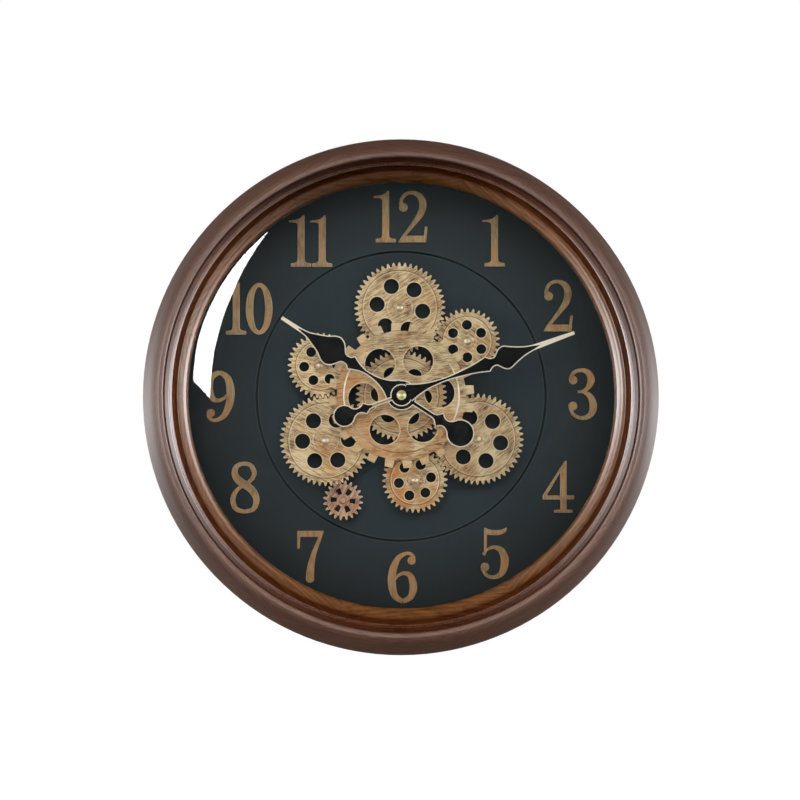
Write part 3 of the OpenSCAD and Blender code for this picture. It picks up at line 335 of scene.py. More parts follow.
def chamfer_highlights(look, colour, sideways, mid):
    """A painted highlight where an edge is cut off at a slant, palest at the left and right of the gear, and the
    middle tone at its top and foot.
    """
    facing = look.math("ABSOLUTE", look.split(look.node("ShaderNodeNewGeometry").outputs["True Normal"])[1])
    chamfer = look.times(look.between(facing, 0.97, 0.80), look.between(facing, 0.12, 0.3))
    pale = look.mix(look.math("MULTIPLY_ADD", sideways, 1.3, -0.2, clamp=True), mid, srgb(255, 238, 222))
    return look.mix(look.times(chamfer, 0.7), colour, pale)


def antique(name, centre, rim, streak, tones, seed, patina, step=None, windows=None, warm=(0.3, -90),
            lip=None):
    """Brushed antique metal paint: fine strokes along the angle streak, brown in places by the strength
    patina, with painted highlights on edges and on teeth, which start at the radius rim. tones are its light,
    middle and dark tone. step is the radius where a raised face ends, and windows gives the windows' radius,
    the radius of the circle that they stand on and the angle of the first. warm is the strength of the orange
    brown patches and the angle of the side that has most of them; lip is the radius of a raised edge that
    gets a painted highlight at its left and right."""
    light, mid, dark = tones
    warmth, warm_side = warm[0], math.radians(warm[1])
    look = Look(name)
    here = look.vector("SUBTRACT", look.where, (centre[0], 0.0, centre[1]))
    brushed = look.mapped(here, turn=(0, math.radians(streak), 0), move=(seed, seed * 0.7, seed * 1.3))
    fine = look.noise(look.mapped(brushed, scale=(90, 420, 950)), detail=5, rough=0.7, distort=0.25)
    broad = look.noise(look.mapped(brushed, scale=(60, 110, 300)), detail=4, rough=0.62, distort=0.6)
    cloud = look.noise(look.mapped(here, scale=(48, 48, 48), move=(seed * 2, 0, seed)), distort=0.4)
    tone = look.weighted((fine, 0.55), (broad, 0.2), (cloud, 0.25))
    colour = look.ramp(tone, [(0.40, dark), (0.485, mid), (0.56, light)])
    side = look.vector("DOT_PRODUCT", here, (math.cos(warm_side) / rim, 0.0, math.sin(warm_side) / rim))
    patch = look.noise(look.mapped(here, scale=(34, 34, 34), move=(seed, 0, seed * 3)))
    patch = look.between(look.scaled(side, 0.14, patch), 0.44, 0.66)
    colour = look.mix(look.times(patch, warmth), colour, srgb(188, 120, 58))
    stroke = look.noise(look.mapped(brushed, scale=(55, 260, 700)), detail=4, rough=0.7, distort=0.5)
    brown = look.times(look.between(stroke, 0.56, 0.64), look.between(cloud, 0.54, 0.42), patina)
    colour = look.mix(brown, colour, shaded(dark, 0.42))
    x, _, z = look.split(here)
    away = look.length(x, z)
    sideways = look.math("ABSOLUTE", look.math("DIVIDE", x, away))
    # bright is the colour of the painted highlights; first it lightens the teeth, from the radius rim outwards
    bright = tuple(min(1.0, c) for c in shaded(light, 1.12))
    colour = look.mix(look.times(look.between(away, rim, rim + 0.0012), 0.45), colour, bright)
    if step:
        colour = step_line_and_highlight(look, colour, away, step, dark, bright)
    if windows:
        colour = window_highlights(look, colour, x, z, away, windows, bright)
    colour = chamfer_highlights(look, colour, sideways, mid)
    # Painted highlight on the raised edge, at its left and right
    if lip:
        band = look.times(look.near(away, lip, 0.0005, 0.0010), look.between(sideways, 0.80, 0.95))
        colour = look.mix(band, colour, srgb(255, 240, 226))
    look.set(Base_Color=colour, Specular_IOR_Level=0.4, Metallic=0.25)
    look.set(Roughness=look.scaled(fine, 0.25, 0.3))
    look.bump(look.weighted((fine, 1.0), (broad, 0.6)), 0.00008)
    return look.mat


def metal(name, colour, rough, scale=600.0, spread=0.12, metallic=1.0):
    """Plain metal with a fine cloudy finish."""
    look = Look(name)
    cloud = look.noise(look.where, scale=scale * 0.2)
    grain = look.noise(look.where, scale=scale, rough=0.6)
    finish = look.weighted((cloud, 0.7), (grain, 0.3))
    look.set(Base_Color=look.mix(finish, shaded(colour, 1 - 2 * spread), colour), Metallic=metallic)
    look.set(Roughness=look.scaled(grain, 0.2, rough - 0.1))
    look.bump(grain, 0.00002)
    return look.mat


def paint(name, colour, rough, mottle=0.1, scale=900.0, depth=0.00003, metallic=0.0, shine=0.5):
    """Paint or moulded plastic: nearly one colour, with a faint mottle and a fine texture."""
    look = Look(name)
    cloud = look.noise(look.where, scale=22.0)
    grain = look.noise(look.where, scale=scale, detail=2, rough=0.6)
    mixed = look.weighted((cloud, 0.75), (grain, 0.25))
    look.set(Base_Color=look.mix(mixed, shaded(colour, 1 - mottle), shaded(colour, 1 + mottle)))
    look.set(Metallic=metallic, Specular_IOR_Level=shine, Roughness=look.scaled(grain, 0.14, rough - 0.07))
    look.bump(grain, depth)
    return look.mat


# How deep the cross in a screw's head is
CROSS_DEPTH = 0.0023


def screw_look(name, nodes):
    """Zinc plated screws, whose heads are at the back of their nodes, with painted shade from just below the top
    of each head down to the depth of its cross, in the cross and round the head's side.
    """
    look = Look(name)
    grain = look.noise(look.where, scale=500.0, rough=0.6)
    y = look.split(look.where)[1]
    cross_shade = 0.0
    for node in nodes:
        head = back_of(node)
        # Painted shade: dark and less metallic from just below the head's top to the depth of the cross
        sunk = look.times(look.between(y, head - 0.0002, head - 0.0005),
                          look.between(y, head - CROSS_DEPTH - 0.0001, head - CROSS_DEPTH))
        cross_shade = look.math("MAXIMUM", sunk, cross_shade)
    shiny = look.mix(grain, srgb(158, 160, 164), srgb(204, 205, 208))
    look.set(Base_Color=look.mix(look.times(cross_shade, 0.9), shiny, srgb(24, 22, 20)))
    look.set(Metallic=look.scaled(cross_shade, -0.7, 0.8), Roughness=look.scaled(grain, 0.2, 0.34))
    look.bump(grain, 0.00002)
    return look.mat


# Hands, cells, dial and glass

# The angle that the minute hand's tail points to, and the radius where the gold strip on its inlay ends
TAIL = math.radians(199)
STRIP_END = 0.0315
# The radius of the round groove in the dial
GROOVE_R = 0.148
# On a cell: how far the copper band reaches from the cap's top, and how far the bare cap and foot reach
COPPER_BAND = 0.0158
BARE_CAP = 0.0020
BARE_FOOT = 0.0008


def inlay_look():
    """The black of the minute hand's inlay, with the gold strip that joins its hub and its tail."""
    look = Look("minute_inlay")
    grain = look.noise(look.where, scale=900.0, detail=2, rough=0.6)
    x, _, z = look.split(look.where)
    tail = look.vector("DOT_PRODUCT", look.where, (math.cos(TAIL), 0.0, math.sin(TAIL)))
    strip = look.times(look.between(tail, 0.0105, 0.0115),
                       look.between(look.length(x, z), STRIP_END + 0.0005, STRIP_END))
    black = look.mix(grain, srgb(8, 8, 8), srgb(12, 12, 12))
    gold = look.mix(grain, srgb(146, 122, 88), srgb(176, 152, 116))
    look.set(Base_Color=look.mix(strip, black, gold), Metallic=look.times(strip, 0.35))
    look.set(Specular_IOR_Level=look.scaled(strip, 0.3, 0.12), Roughness=look.scaled(grain, 0.14, 0.4))
    look.bump(grain, 0.00002)
    return look.mat


def cell_look(name, node, axis):
    """The jacket of battery cells that lie along an axis: copper by the cap, black below, bare ends."""
    foot, cap = (corner[axis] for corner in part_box(node))
    look = Look(name)
    along = look.split(look.where)[axis]
    scuff = look.noise(look.where, scale=700.0, rough=0.6)
    jacket = look.mix(look.between(along, cap - COPPER_BAND - 0.0002, cap - COPPER_BAND),
                      look.mix(scuff, srgb(22, 22, 24), srgb(34, 34, 37)),
                      look.mix(scuff, srgb(170, 104, 52), srgb(196, 126, 68)))
    bare = look.math("MAXIMUM", look.between(along, cap - BARE_CAP - 0.0001, cap - BARE_CAP),
                     look.between(along, foot + BARE_FOOT + 0.0001, foot + BARE_FOOT))
    colour = look.mix(bare, jacket, look.mix(scuff, srgb(160, 160, 162), srgb(196, 196, 198)))
    look.set(Base_Color=colour, Metallic=look.scaled(bare, 0.6, 0.35))
    look.set(Roughness=look.scaled(scuff, 0.16, 0.24))
    look.bump(scuff, 0.00001)
    return look.mat


def dial_look():
    """Satin blue black paint on the front of the board, bare brown hardboard behind. On the paint, painted light
    and shade: darker near the rim and lighter and bluer in the middle, lighter towards the top of the outer
    part, a painted shadow in the groove and a painted highlight along its edges.
    """
    look = Look("dial_paint")
    x, y, z = look.split(look.where)
    cloud = look.noise(look.where, scale=9.0)
    grain = look.noise(look.where, scale=1500.0, detail=2)
    radius = look.length(x, z)
    # Painted shade and light: the outer colour is darker for the frame's shadow near the rim, the inner lighter
    # and bluer
    outer = look.mix(cloud, srgb(37, 42, 43), srgb(43, 47, 49))
    inner = look.mix(cloud, srgb(51, 59, 63), srgb(58, 67, 72))
    # Painted light: the outer part lighter towards the top
    outer = look.mix(look.between(z, 0.06, 0.20), outer, srgb(50, 55, 57))
    front = look.mix(look.between(radius, 0.20, 0.09), outer, inner)
    # A painted shadow in the groove, and a painted highlight along both its edges
    groove_shadow = look.near(radius, GROOVE_R, 0.0009, 0.0013)
    rim = look.math("SUBTRACT", look.near(radius, GROOVE_R, 0.0019, 0.0024),
                    look.near(radius, GROOVE_R, 0.0011, 0.0014))
    front = look.mix(look.times(rim, 0.6), front, srgb(66, 73, 76))
    front = look.mix(look.times(groove_shadow, 0.9), front, srgb(8, 10, 11))
    fibre = look.noise(look.mapped(look.where, scale=(420, 420, 420)), detail=6, rough=0.75, distort=1.0)
    behind = look.ramp(fibre, [(0.3, srgb(84, 60, 40)), (0.7, srgb(128, 98, 68))])
    middle = middle_of("dial_board").y
    is_back = look.between(y, middle - 0.0001, middle)
    look.set(Base_Color=look.mix(is_back, front, behind), Specular_IOR_Level=0.12)
    look.set(Roughness=look.scaled(is_back, 0.35, look.scaled(grain, 0.1, 0.42)))
    look.bump(look.math("ADD", look.times(grain, 0.3), look.times(fibre, is_back)), 0.00005)
    return look.mat


def glass_look():
    """Clear glass that lets the lamps' light through to the dial."""
    look = Look("clear_glass")
    look.set(Base_Color=(0.97, 0.985, 0.98, 1), Roughness=0.0, IOR=1.5, Transmission_Weight=1.0)
    ray = look.node("ShaderNodeLightPath").outputs
    through = look.math("MAXIMUM", ray["Is Shadow Ray"], ray["Is Diffuse Ray"])
    clear = look.fed("ShaderNodeBsdfTransparent", (0.93, 0.95, 0.945, 1)).outputs[0]
    look.feed(look.surface, look.either(through, look.bsdf.outputs[0], clear))
    return look.mat


# Looks on the CAD nodes

# Light, middle and dark tone
GOLD = (srgb(228, 202, 160), srgb(190, 158, 116), srgb(104, 74, 46))
ROSE = (srgb(206, 172, 146), srgb(166, 128, 104), srgb(98, 64, 50))
NUMERAL_TONES = (srgb(160, 131, 94), srgb(142, 113, 78), srgb(120, 90, 60))

# Radii of each size of gear: where the teeth start, where the raised face ends, a window, the circle of
# windows, the ring round the nut, and a raised edge
LARGE = {"rim": 0.0425, "step": 0.0378, "window": 0.0078, "circle": 0.0235, "boss": 0.0128}
SMALL = {"rim": 0.0295, "step": 0.0247, "window": 0.0051, "circle": 0.0166, "boss": 0.0092}
COARSE = {"rim": 0.0665, "window": 0.0153, "circle": 0.0389, "lip": 0.0586}
PINION_RIM = 0.0165
# A radius past everything on the dial, for what has no teeth
NO_RIM = 0.3
# Gear: its size, the angles of its brush strokes and of its first window, its warm patches as antique takes
# them, and the shade of its gold
GEARS = {
    "centre_gear": (LARGE, -10, 56, (0.35, -90), 0.8),
    "front_gear": (COARSE, 6, 4, (0.6, -105), 0.86),
    "gear_top": (LARGE, 28, 51.5, (0.2, -60), 0.96),
    "gear_lower_left": (LARGE, -22, 2, (0.55, -20), 0.96),
    "gear_lower_right": (LARGE, 40, 50.5, (0.25, 180), 0.84),
    "gear_upper_right": (SMALL, -35, 30.5, (0.3, -90), 0.92),
    "gear_upper_left": (SMALL, -5, 4.5, (0.12, 0), 1.1),
    "gear_bottom": (SMALL, 15, 10, (0.85, -90), 0.86),
}
NUMERALS = [f"numeral_{hour}" for hour in range(1, 13)]


def wear(node, look):
    """Gives a CAD node its material."""
    slots = NODES[node].data.materials
    if len(slots) == 0:
        slots.append(look)
    for i in range(len(slots)):
        slots[i] = look


# Across the outer ring: the rounded step up from its inner edge, the crest from 0.2425, the slope outwards
# On the outer ring, the dark inner edge and the darker outer slope in its stain list are painted shade
wear("outer_frame", ring_wood(
    "outer_wood", (srgb(84, 58, 48), srgb(98, 72, 61), srgb(110, 84, 72)), 14,
    stain_and_shade=[(0.2400, (0.45, 0.36, 0.30)), (0.2410, (1.0, 0.97, 0.94)), (0.2474, (1.0, 0.98, 0.95)),
           (0.2520, (0.84, 0.76, 0.70)), (0.2600, (0.78, 0.68, 0.62)), (0.2665, (0.76, 0.66, 0.60))],
    coat=[(0.2400, 0.0), (0.2665, 0.0)],
    shine=[(0.2400, 0.20), (0.2410, 0.55), (0.2440, 0.45), (0.2455, 0.25), (0.2474, 0.15), (0.2500, 0.15),
           (0.2560, 0.32), (0.2665, 0.34)],
    # foot=1.45 is painted light on the outer ring's lower part
    gloss=0.26, foot=1.45, back=srgb(160, 120, 84)))
# Across the bezel: the lip to 0.2254, the cove to 0.2312, the bead to 0.2345 and a flat to its outer edge
# On the bezel, the dark cove and the dark line beyond the bead in its stain list are partly the wood's tone and
# partly painted shade
wear("bezel_ring", ring_wood(
    "inner_wood", (srgb(92, 50, 20), srgb(126, 76, 32), srgb(152, 98, 48)), 29,
    stain_and_shade=[(0.2158, (0.80, 0.80, 0.80)), (0.2225, (0.85, 0.85, 0.85)), (0.2262, (0.5, 0.42, 0.38)),
           (0.2278, (0.28, 0.22, 0.20)), (0.2318, (0.36, 0.28, 0.26)), (0.2330, (0.62, 0.44, 0.38)),
           (0.2350, (0.58, 0.40, 0.36)), (0.2358, (0.30, 0.22, 0.20)), (0.2368, (0.50, 0.34, 0.30)),
           (0.2398, (0.42, 0.28, 0.24))],
    coat=[(0.2158, 1.0), (0.2256, 1.0), (0.2270, 0.0), (0.2316, 0.0), (0.2322, 1.0), (0.2350, 1.0),
          (0.2358, 0.5), (0.2398, 0.45)],
    shine=[(0.2158, 0.12), (0.2256, 0.12), (0.2270, 0.02), (0.2316, 0.02), (0.2322, 0.5), (0.2348, 0.5),
           (0.2358, 0.05), (0.2398, 0.05)],
    # top=0.35 is painted shade on the bezel's upper part
    gloss=0.22, top=0.35))

for number, (gear, (size, streak, first_window, warm, shade)) in enumerate(GEARS.items()):
    wear(gear, antique("gold_" + gear, AXIS_OF[BODY_OF[gear]], size["rim"], streak,
                       [shaded(tone, shade) for tone in GOLD], seed=1.7 * number + 0.4, patina=0.9,
                       step=size.get("step"), windows=(size["window"], size["circle"], first_window),
                       warm=warm, lip=size.get("lip")))
wear("drive_pinion", antique("rose_pinion", AXIS_OF["pinion"], PINION_RIM, 60, ROSE, seed=8.3, patina=0.6))

BRASS = metal("brass", srgb(214, 182, 118), 0.3)
SPRING_STEEL = metal("spring_steel", srgb(198, 198, 202), 0.28)
BLACK_PLASTIC = paint("black_plastic", srgb(34, 34, 36), 0.5, mottle=0.12, scale=1800.0, depth=0.00005)
FINISHES = {
    glass_look(): ["glass_lens"],
    dial_look(): ["dial_board"],
    antique("numeral_gold", (0.0, 0.0), NO_RIM, 90, NUMERAL_TONES, seed=3.1, patina=0.12): NUMERALS,
    antique("washer_gold", (0.0, 0.0), NO_RIM, 12, GOLD, seed=5.9, patina=0.4): ["stud_washers"],
    metal("pale_brass", srgb(236, 214, 180), 0.3, spread=0.08, metallic=0.6): ["dome_nuts"],
    metal("cap_brass", srgb(220, 212, 156), 0.34, metallic=0.85): ["cap_nut"],
    metal("rose_brass", srgb(190, 146, 118), 0.4, metallic=0.6): ["pinion_nut", "drive_shaft"],
    BRASS: ["centre_bush", "neck_washer", "neck_nut", "gear_studs", "gear_hub", "hour_tube", "minute_arbor",
            "threaded_neck"],
    metal("bright_steel", srgb(206, 206, 208), 0.32): ["drive_motor"],
    metal("copper_wire", srgb(184, 104, 62), 0.35): ["movement_coil"],
    metal("zinc", srgb(190, 192, 196), 0.4, scale=300.0, spread=0.16): ["bezel_screws", "hanger_plate"],
    screw_look("board_zinc", ["dial_screws", "board_screws"]): ["dial_screws", "board_screws"],
    screw_look("hanger_zinc", ["hanger_screws"]): ["hanger_screws"],
    paint("hand_gold", srgb(238, 224, 200), 0.36, mottle=0.08, metallic=0.2): ["hour_hand", "minute_hand"],
    paint("hand_black", srgb(10, 10, 10), 0.5, mottle=0.15, shine=0.12): ["hour_hand_inlay"],
    inlay_look(): ["minute_hand_inlay"],
    BLACK_PLASTIC: ["movement_case", "movement_cover", "drive_case", "drive_cover"],
    paint("white_plastic", srgb(222, 221, 214), 0.45, mottle=0.03): ["setting_knob", "power_switch"],
    paint("black_liner", srgb(20, 20, 21), 0.7, mottle=0.3): ["spacer_ring"],
    paint("black_rubber", srgb(28, 28, 28), 0.8, mottle=0.2): ["movement_gasket"],
    paint("circuit_green", srgb(28, 92, 56), 0.35, mottle=0.15): ["movement_board"],
    cell_look("movement_jacket", "movement_cell", 0): ["movement_cell"],
    cell_look("drive_jackets", "drive_cells", 2): ["drive_cells"],
}
for finish, wearers in FINISHES.items():
    for wearer in wearers:
        wear(wearer, finish)


def soften(nodes, width):
    """Rounds the sharp edges of CAD nodes a little, so that they catch the light."""
    for node in nodes:
        modifiers = NODES[node].modifiers
        weld = modifiers.new("weld", "WELD")
        weld.merge_threshold = 0.000002
        bevel = modifiers.new("bevel", "BEVEL")
        bevel.width = width
        bevel.segments = 2
        bevel.limit_method = "ANGLE"
        bevel.angle_limit = math.radians(35)
        bevel.use_clamp_overlap = True
        even = modifiers.new("even", "WEIGHTED_NORMAL")
        even.keep_sharp = False
        even.weight = 80


soften([*GEARS, "drive_pinion"], width=0.00022)
soften(NUMERALS, width=0.00045)
soften(["hour_hand", "minute_hand"], width=0.0002)


# Pieces that are too fine for the CAD model

# How finely rings and wires are drawn
RING_STEPS = 96
WIRE_SIDES = 8
STEPS_PER_TURN = 20
# Thickness of the sheet and radius of the wire that touch the cells
SPRING_GAUGE = 0.0003
# From a cell's end to the wall of its bay
MOVEMENT_GAP = 0.0013
DRIVE_GAP = 0.0033
# The middles of the walls at the foot and at the cap of the movement's cell, which lies along x
MOVEMENT_FOOT = Vector((-0.0264, -0.0203, -0.0191))
MOVEMENT_CAP = Vector((0.0264, -0.0203, -0.0191))
# The drive's upright cells: their axes in x and in y, and the z of the walls at their feet and at their caps
DRIVE_CELLS_X = (-0.02181, -0.00661)
DRIVE_CELLS_Y = -0.0213
DRIVE_FOOT_Z = -0.135116
DRIVE_CAP_Z = -0.078316
# How far a gear's boss and the ring round the knob stand out of what they stand on, and how far they sink in
BOSS_PROUD = 0.00025
BOSS_SUNK = 0.0002
KNOB_RING_PROUD = 0.00035
KNOB_RING_SUNK = 0.00005
# Two corners of the opening inside the switch's rim as (x, z), and the rim's width and height
RIM_LOW = (-0.0761, -0.1284)
RIM_HIGH = (-0.0647, -0.1230)
RIM_WIDTH = 0.0009
RIM_HEIGHT = 0.0005


def piece(name, points, faces, body, look, smooth=True):
    """A piece made of a mesh, which rides on a CAD body."""
    mesh = bpy.data.meshes.new(name)
    mesh.from_pydata(points, [], faces)
    mesh.validate()
    for face in mesh.polygons:
        face.use_smooth = smooth
    mesh.materials.append(look)
    obj = bpy.data.objects.new(name, mesh)
    bpy.context.scene.collection.objects.link(obj)
    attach(obj, body)


def turned_ring(name, centre, profile, body, look):
    """A closed profile of (radius, y) points turned round an axis that stands on the dial at centre."""
    count = len(profile)
    points = []
    for i in range(RING_STEPS):
        turn = 2 * math.pi * i / RING_STEPS
        points += [(centre[0] + r * math.cos(turn), y, centre[1] + r * math.sin(turn)) for r, y in profile]
    faces = []
    for i in range(RING_STEPS):
        here, after = i * count, (i + 1) % RING_STEPS * count
        for j in range(count):
            k = (j + 1) % count
            faces.append((here + j, here + k, after + k, after + j))
    piece(name, points, faces, body, look)


def gear_boss(gear, radius):
    """A low ring turned on a gear round its nut."""
    face = front_of(gear)
    sunk = face + BOSS_SUNK
    proud = face - BOSS_PROUD
    profile = [(radius - 0.0008, sunk), (radius - 0.0004, proud), (radius + 0.0002, proud),
               (radius + 0.0008, sunk)]
    body = BODY_OF[gear]
    turned_ring(gear + "_boss", AXIS_OF[body], profile, body, NODES[gear].data.materials[0])


def knob_ring():
    """A low ring on the movement's cover round the setting knob."""
    face = back_of("movement_cover")
    inside, outside = 0.0092, 0.0100
    sunk = face - KNOB_RING_SUNK
    proud = face + KNOB_RING_PROUD
    profile = [(inside, sunk), (inside, proud), (outside, proud), (outside, sunk)]
    turned_ring("knob_ring", AXIS_OF["knob"], profile, "case", BLACK_PLASTIC)


def switch_rim():
    """A raised rim on the drive's cover round the slot that the switch slides in."""
    face = back_of("drive_cover")
    points = []
    for y in (face, face + RIM_HEIGHT):
        for grow in (0.0, RIM_WIDTH):
            left, right = RIM_LOW[0] - grow, RIM_HIGH[0] + grow
            foot, top = RIM_LOW[1] - grow, RIM_HIGH[1] + grow
            points += [(left, y, foot), (right, y, foot), (right, y, top), (left, y, top)]
    faces = []
    for i in range(4):
        j = (i + 1) % 4
        faces += [(8 + i, 8 + j, 12 + j, 12 + i), (4 + i, 12 + i, 12 + j, 4 + j), (i, j, 8 + j, 8 + i),
                  (i, 4 + i, 4 + j, j)]
    piece("switch_rim", points, faces, "case", BLACK_PLASTIC, smooth=False)


def wire(name, route, radius, body, look):
    """A round wire along a route of points, with flat ends."""
    points, faces = [], []
    # A direction that no wire starts along
    across = Vector((0.31, 0.87, 0.39))
    for i, point in enumerate(route):
        ahead = (route[min(i + 1, len(route) - 1)] - route[max(i - 1, 0)]).normalized()
        across = (across - ahead * across.dot(ahead)).normalized()
        beside = ahead.cross(across)
        for j in range(WIRE_SIDES):
            turn = 2 * math.pi * j / WIRE_SIDES
            points.append(point + (across * math.cos(turn) + beside * math.sin(turn)) * radius)
    for i in range(len(route) - 1):
        here, after = i * WIRE_SIDES, (i + 1) * WIRE_SIDES
        for j in range(WIRE_SIDES):
            k = (j + 1) % WIRE_SIDES
            faces.append((here + j, here + k, after + k, after + j))
    faces.append(tuple(range(WIRE_SIDES))[::-1])
    faces.append(tuple(len(points) - WIRE_SIDES + j for j in range(WIRE_SIDES)))
    piece(name, points, faces, body, look)


def cell_spring(name, foot, away, length, wide, narrow, turns):
    """A conical wire spring between a battery bay's wall at foot and the cell's foot, along away."""
    beside = Vector((0, 1, 0))
    third = away.cross(beside)
    steps = int(turns * STEPS_PER_TURN)
    route = []
    for i in range(steps + 1):
        share = i / steps
        turn = 2 * math.pi * turns * share
        reach = wide + (narrow - wide) * share
        route.append(foot + away * (SPRING_GAUGE + (length - 2 * SPRING_GAUGE) * share)
                     + (beside * math.cos(turn) + third * math.sin(turn)) * reach)
    wire(name, route, SPRING_GAUGE, "case", SPRING_STEEL)


def contact_strip(name, foot, away, bulge, height, width):
    """A sheet metal contact on a battery bay's wall: flat at both ends and bent out to the cell's cap."""
    up = Vector((0, 1, 0))
    side = away.cross(up)
    shape = [(-0.5, 0.0), (-0.34, 0.0), (-0.2, 0.55), (-0.1, 0.95), (0.0, 1.0), (0.1, 0.95), (0.2, 0.55),
             (0.34, 0.0), (0.5, 0.0)]
    points = []
    for along, out in shape:
        for skin in (0.0, SPRING_GAUGE):
            base = foot + up * along * height + away * (out * (bulge - SPRING_GAUGE) + skin)
            points += [base - side * width / 2, base + side * width / 2]
    faces = []
    for i in range(len(shape) - 1):
        a, b = 4 * i, 4 * i + 4
        faces += [(a, a + 1, b + 1, b), (a + 2, b + 2, b + 3, a + 3), (a, b, b + 2, a + 2),
                  (a + 1, a + 3, b + 3, b + 1)]
    last = 4 * (len(shape) - 1)
    faces += [(0, 2, 3, 1), (last, last + 1, last + 3, last + 2)]
    piece(name, points, faces, "case", SPRING_STEEL, smooth=False)


def movement_contacts():
    """The spring and the contact at the ends of the movement's cell."""
    along = Vector((1, 0, 0))
    cell_spring("movement_spring", MOVEMENT_FOOT, along, MOVEMENT_GAP, wide=0.0045, narrow=0.003, turns=1.6)
    contact_strip("movement_contact", MOVEMENT_CAP, -along, MOVEMENT_GAP, height=0.012, width=0.007)


def drive_contacts():
    """The springs and the contacts at the ends of the drive's two cells."""
    up = Vector((0, 0, 1))
    for number, x in enumerate(DRIVE_CELLS_X, start=1):
        foot = Vector((x, DRIVE_CELLS_Y, DRIVE_FOOT_Z))
        cap = Vector((x, DRIVE_CELLS_Y, DRIVE_CAP_Z))
        cell_spring(f"drive_spring_{number}", foot, up, DRIVE_GAP, wide=0.0048, narrow=0.0028, turns=3.2)
        contact_strip(f"drive_contact_{number}", cap, -up, DRIVE_GAP, height=0.0125, width=0.008)


for gear, (size, *_) in GEARS.items():
    if gear.startswith("gear_"):
        gear_boss(gear, size["boss"])
switch_rim()
knob_ring()
movement_contacts()
drive_contacts()


# Lamps and floor


def aim(obj, target):
    obj.rotation_euler = (Vector(target) - obj.location).to_track_quat("-Z", "Y").to_euler()


def lamp(name, place, target, width, height, power):
    """An area lamp that lights surfaces and shows in no mirror: the sky makes what is mirrored."""
    data = bpy.data.lights.new(name, "AREA")
    data.shape = "RECTANGLE"
    data.size = width
    data.size_y = height
    data.energy = power
    obj = bpy.data.objects.new(name, data)
    bpy.context.scene.collection.objects.link(obj)
    obj.location = place
    aim(obj, target)
    obj.visible_camera = False
    obj.visible_glossy = False
    obj.visible_transmission = False


lamp("key_light", (0.0, -2.6, 2.3), (0, 0, 0.02), 3.6, 2.2, 76)
lamp("left_soft", (-2.6, -1.3, 0.2), (0, 0, 0), 1.0, 2.4, 8)
lamp("right_soft", (2.6, -1.3, 0.2), (0, 0, 0), 1.0, 2.4, 8)
lamp("front_fill", (0.2, -3.1, -0.4), (0, 0, 0), 2.4, 0.9, 5)
lamp("low_fill", (0.0, -1.9, -2.3), (0, 0, -0.1), 2.4, 0.9, 26)
lamp("back_fill", (0.6, 2.4, 1.4), (0, 0, 0), 1.6, 1.2, 70)


def stage_plane(name, corners, material):
    """A flat piece of the studio, which is no part of the clock."""
    mesh = bpy.data.meshes.new(name)
    mesh.from_pydata(corners, [], [tuple(range(len(corners)))])
    obj = bpy.data.objects.new(name, mesh)
    bpy.context.scene.collection.objects.link(obj)
    obj.data.materials.append(material)
    return obj


FLOOR_Z = -0.62
FLOOR_REACH = 9
# The share of the floor's shading that the camera sees as white instead, how bright that white is, and the
# grey that the floor throws back on the clock
FLOOR_WHITENED = 0.7
FLOOR_WHITE = 1.3
FLOOR_GREY = 0.15


def floor_look():
    """A pale floor that is nearly white to the camera but keeps its shadow, and is a dim grey as a source of
    light."""
    look = Look("pale_floor")
    look.set(Base_Color=(0.86, 0.86, 0.86, 1), Roughness=0.8)
    ray = look.node("ShaderNodeLightPath").outputs
    plain = look.either(ray["Is Diffuse Ray"], look.bsdf.outputs[0], look.glow(FLOOR_GREY))
    whitened = look.times(ray["Is Camera Ray"], FLOOR_WHITENED)
    look.feed(look.surface, look.either(whitened, plain, look.glow(FLOOR_WHITE)))
    return look.mat


floor = stage_plane("floor", [(x * FLOOR_REACH, y * FLOOR_REACH, FLOOR_Z)
                              for x, y in ((-1, -1), (1, -1), (1, 1), (-1, 1))], floor_look())
floor.visible_glossy = False
floor.visible_transmission = False
floor.visible_shadow = False


# Camera and the card that the glass mirrors

# The photograph's view: nearly straight on, from a little below
CAMERA_DISTANCE = 3.2
ELEVATION = math.radians(-1.8)
AZIMUTH = math.radians(-0.6)
EYE = Vector((CAMERA_DISTANCE * math.cos(ELEVATION) * math.sin(AZIMUTH),
              -CAMERA_DISTANCE * math.cos(ELEVATION) * math.cos(AZIMUTH),
              CAMERA_DISTANCE * math.sin(ELEVATION)))
LENS = 139.05
SHIFT = (-0.0011, -0.0036)

CARD_Y = -1.5
CARD_GLOW = 20.0
GLASS_Y = front_of("glass_lens")
# The outer edge of the card's mirror image: its radius at its foot, how much further out it lies higher up,
# and the angle of its foot in degrees
CARD_EDGE_R = 0.2113
CARD_WIDENING = 0.0027
CARD_FOOT = 176


def card_point(x, z):
    """The point on the card's plane that the camera sees mirrored at x, z on the glass."""
    hit = Vector((x, GLASS_Y, z))
    way = hit - EYE
    way.y = -way.y
    return hit + way * ((CARD_Y - GLASS_Y) / way.y)


def card_edge(degrees):
    """A point of the outer edge of the card's mirror image."""
    turn = math.radians(degrees)
    radius = CARD_EDGE_R + CARD_WIDENING * math.sin(math.radians(min(90, (CARD_FOOT - degrees) * 5)))
    return radius * math.cos(turn), radius * math.sin(turn)


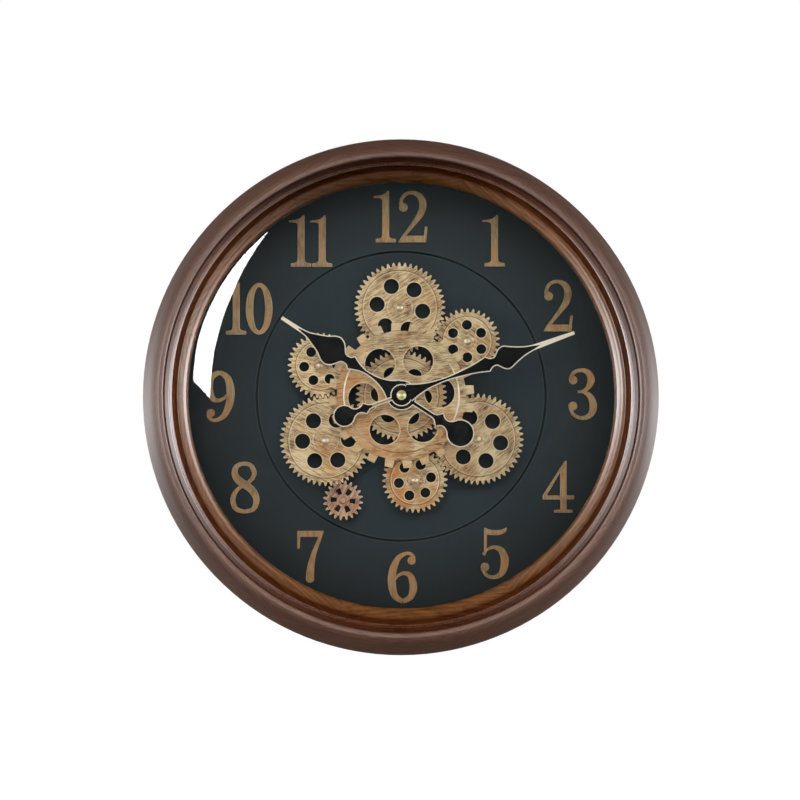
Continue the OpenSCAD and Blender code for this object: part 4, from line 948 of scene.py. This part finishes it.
# The mirror image's inner edge from its top to its foot, in metres on the glass, then its outer edge back up
card_image = [(-0.1337, 0.1661), (-0.1377, 0.1630), (-0.1488, 0.1466), (-0.1589, 0.1297), (-0.1656, 0.1163),
              (-0.1710, 0.1035), (-0.1764, 0.0908), (-0.1811, 0.0782), (-0.1850, 0.0640), (-0.1902, 0.0429),
              (-0.1918, 0.0275), (-0.1929, 0.0177), (-0.1940, -0.0037), (-0.2112, 0.0147)]
card_image += [card_edge(turn) for turn in (172, 168, 164, 160, 155, 150, 145, 140, 136, 132, 130)]
card_look = Look("card_white")
card_look.feed(card_look.surface, card_look.glow(CARD_GLOW))
card = stage_plane("reflector_card", [card_point(x, z) for x, z in card_image], card_look.mat)
card.visible_camera = False
card.visible_diffuse = False
card.visible_shadow = False

camera_data = bpy.data.cameras.new("camera")
camera_data.sensor_width = 36
camera_data.lens = LENS
camera_data.shift_x, camera_data.shift_y = SHIFT
camera = bpy.data.objects.new("camera", camera_data)
bpy.context.scene.collection.objects.link(camera)
camera.location = EYE
aim(camera, (0, 0, 0))
bpy.context.scene.camera = camera
bpy.context.scene.view_settings.view_transform = "Standard"


# Sky

# The even light on surfaces, the brightness of the mirrored soft boxes, and the dark between them
AMBIENT = 0.28
SIDE_BOX = 15.0
DARK = 0.03
# The mirrored room beside the camera: its light at the right, how much more it has at the left, and its core
ROOM_RIGHT = 3.0
ROOM_LEFT_MORE = 5.0
ROOM_CORE = 9.0
# How fast mirrored light falls off above and below the clock, for the part in front and the part beside it
FALL_OFF = 9.0
FALL_OFF_BESIDE = 20.0
# How much of the mirrored light a sharp mirror such as the glass loses, so that the dial stays readable
SHARP_LOSS = 0.7


def light_sky():
    """A sky that the camera sees white and that lights surfaces evenly. Lacquer and metal mirror it as a
    soft box on either side, a dimmer room on either side of the camera, and darkness right behind it."""
    world = bpy.data.worlds.new("studio")
    bpy.context.scene.world = world
    sky = Tree(world)
    ray = sky.node("ShaderNodeLightPath").outputs
    x, y, z = sky.split(sky.node("ShaderNodeTexCoord").outputs["Generated"])

    def beside(narrow):
        """1 level with the clock, falling to 0 above and below it, the faster the larger narrow is."""
        level = sky.times(x, x)
        reach = sky.scaled(sky.times(z, z), narrow, sky.math("ADD", level, 0.0001))
        return sky.math("DIVIDE", level, reach)

    # y runs from -1 where a mirrored ray goes towards the camera to 1 where it goes into the wall
    wide = sky.times(sky.between(y, 0.1, -0.4), beside(FALL_OFF))
    thin = sky.times(sky.between(y, -0.4, 0.1), beside(FALL_OFF_BESIDE), 0.6)
    boxes = sky.times(sky.between(y, -0.88, -0.65), sky.between(y, 1.1, -0.2), sky.math("ADD", wide, thin))
    past_camera = sky.between(y, -0.9965, -0.985)
    sides = sky.scaled(sky.between(x, 0.05, -0.05), ROOM_LEFT_MORE, ROOM_RIGHT)
    room = sky.times(sky.between(y, -0.7, -0.92), sides)
    core = sky.times(sky.between(y, -0.945, -0.965), ROOM_CORE)
    room = sky.times(past_camera, beside(FALL_OFF), sky.math("ADD", room, core))
    image = sky.math("ADD", sky.scaled(boxes, SIDE_BOX, DARK), room)
    image = sky.times(image, sky.scaled(ray["Is Singular Ray"], -SHARP_LOSS, 1.0))
    mirrored = sky.math("MAXIMUM", ray["Is Glossy Ray"], ray["Is Transmission Ray"])
    strength = sky.scaled(mirrored, sky.math("SUBTRACT", image, AMBIENT), AMBIENT)
    seen = ray["Is Camera Ray"]
    strength = sky.scaled(strength, sky.math("SUBTRACT", 1.0, seen), seen)
    tint = sky.mix(sky.times(boxes, mirrored), (1.0, 1.0, 1.0), (0.86, 0.91, 1.0))
    shine = sky.fed("ShaderNodeBackground", tint, strength).outputs[0]
    sky.feed(sky.node("ShaderNodeOutputWorld").inputs["Surface"], shine)


light_sky()

bpy.context.view_layer.update()
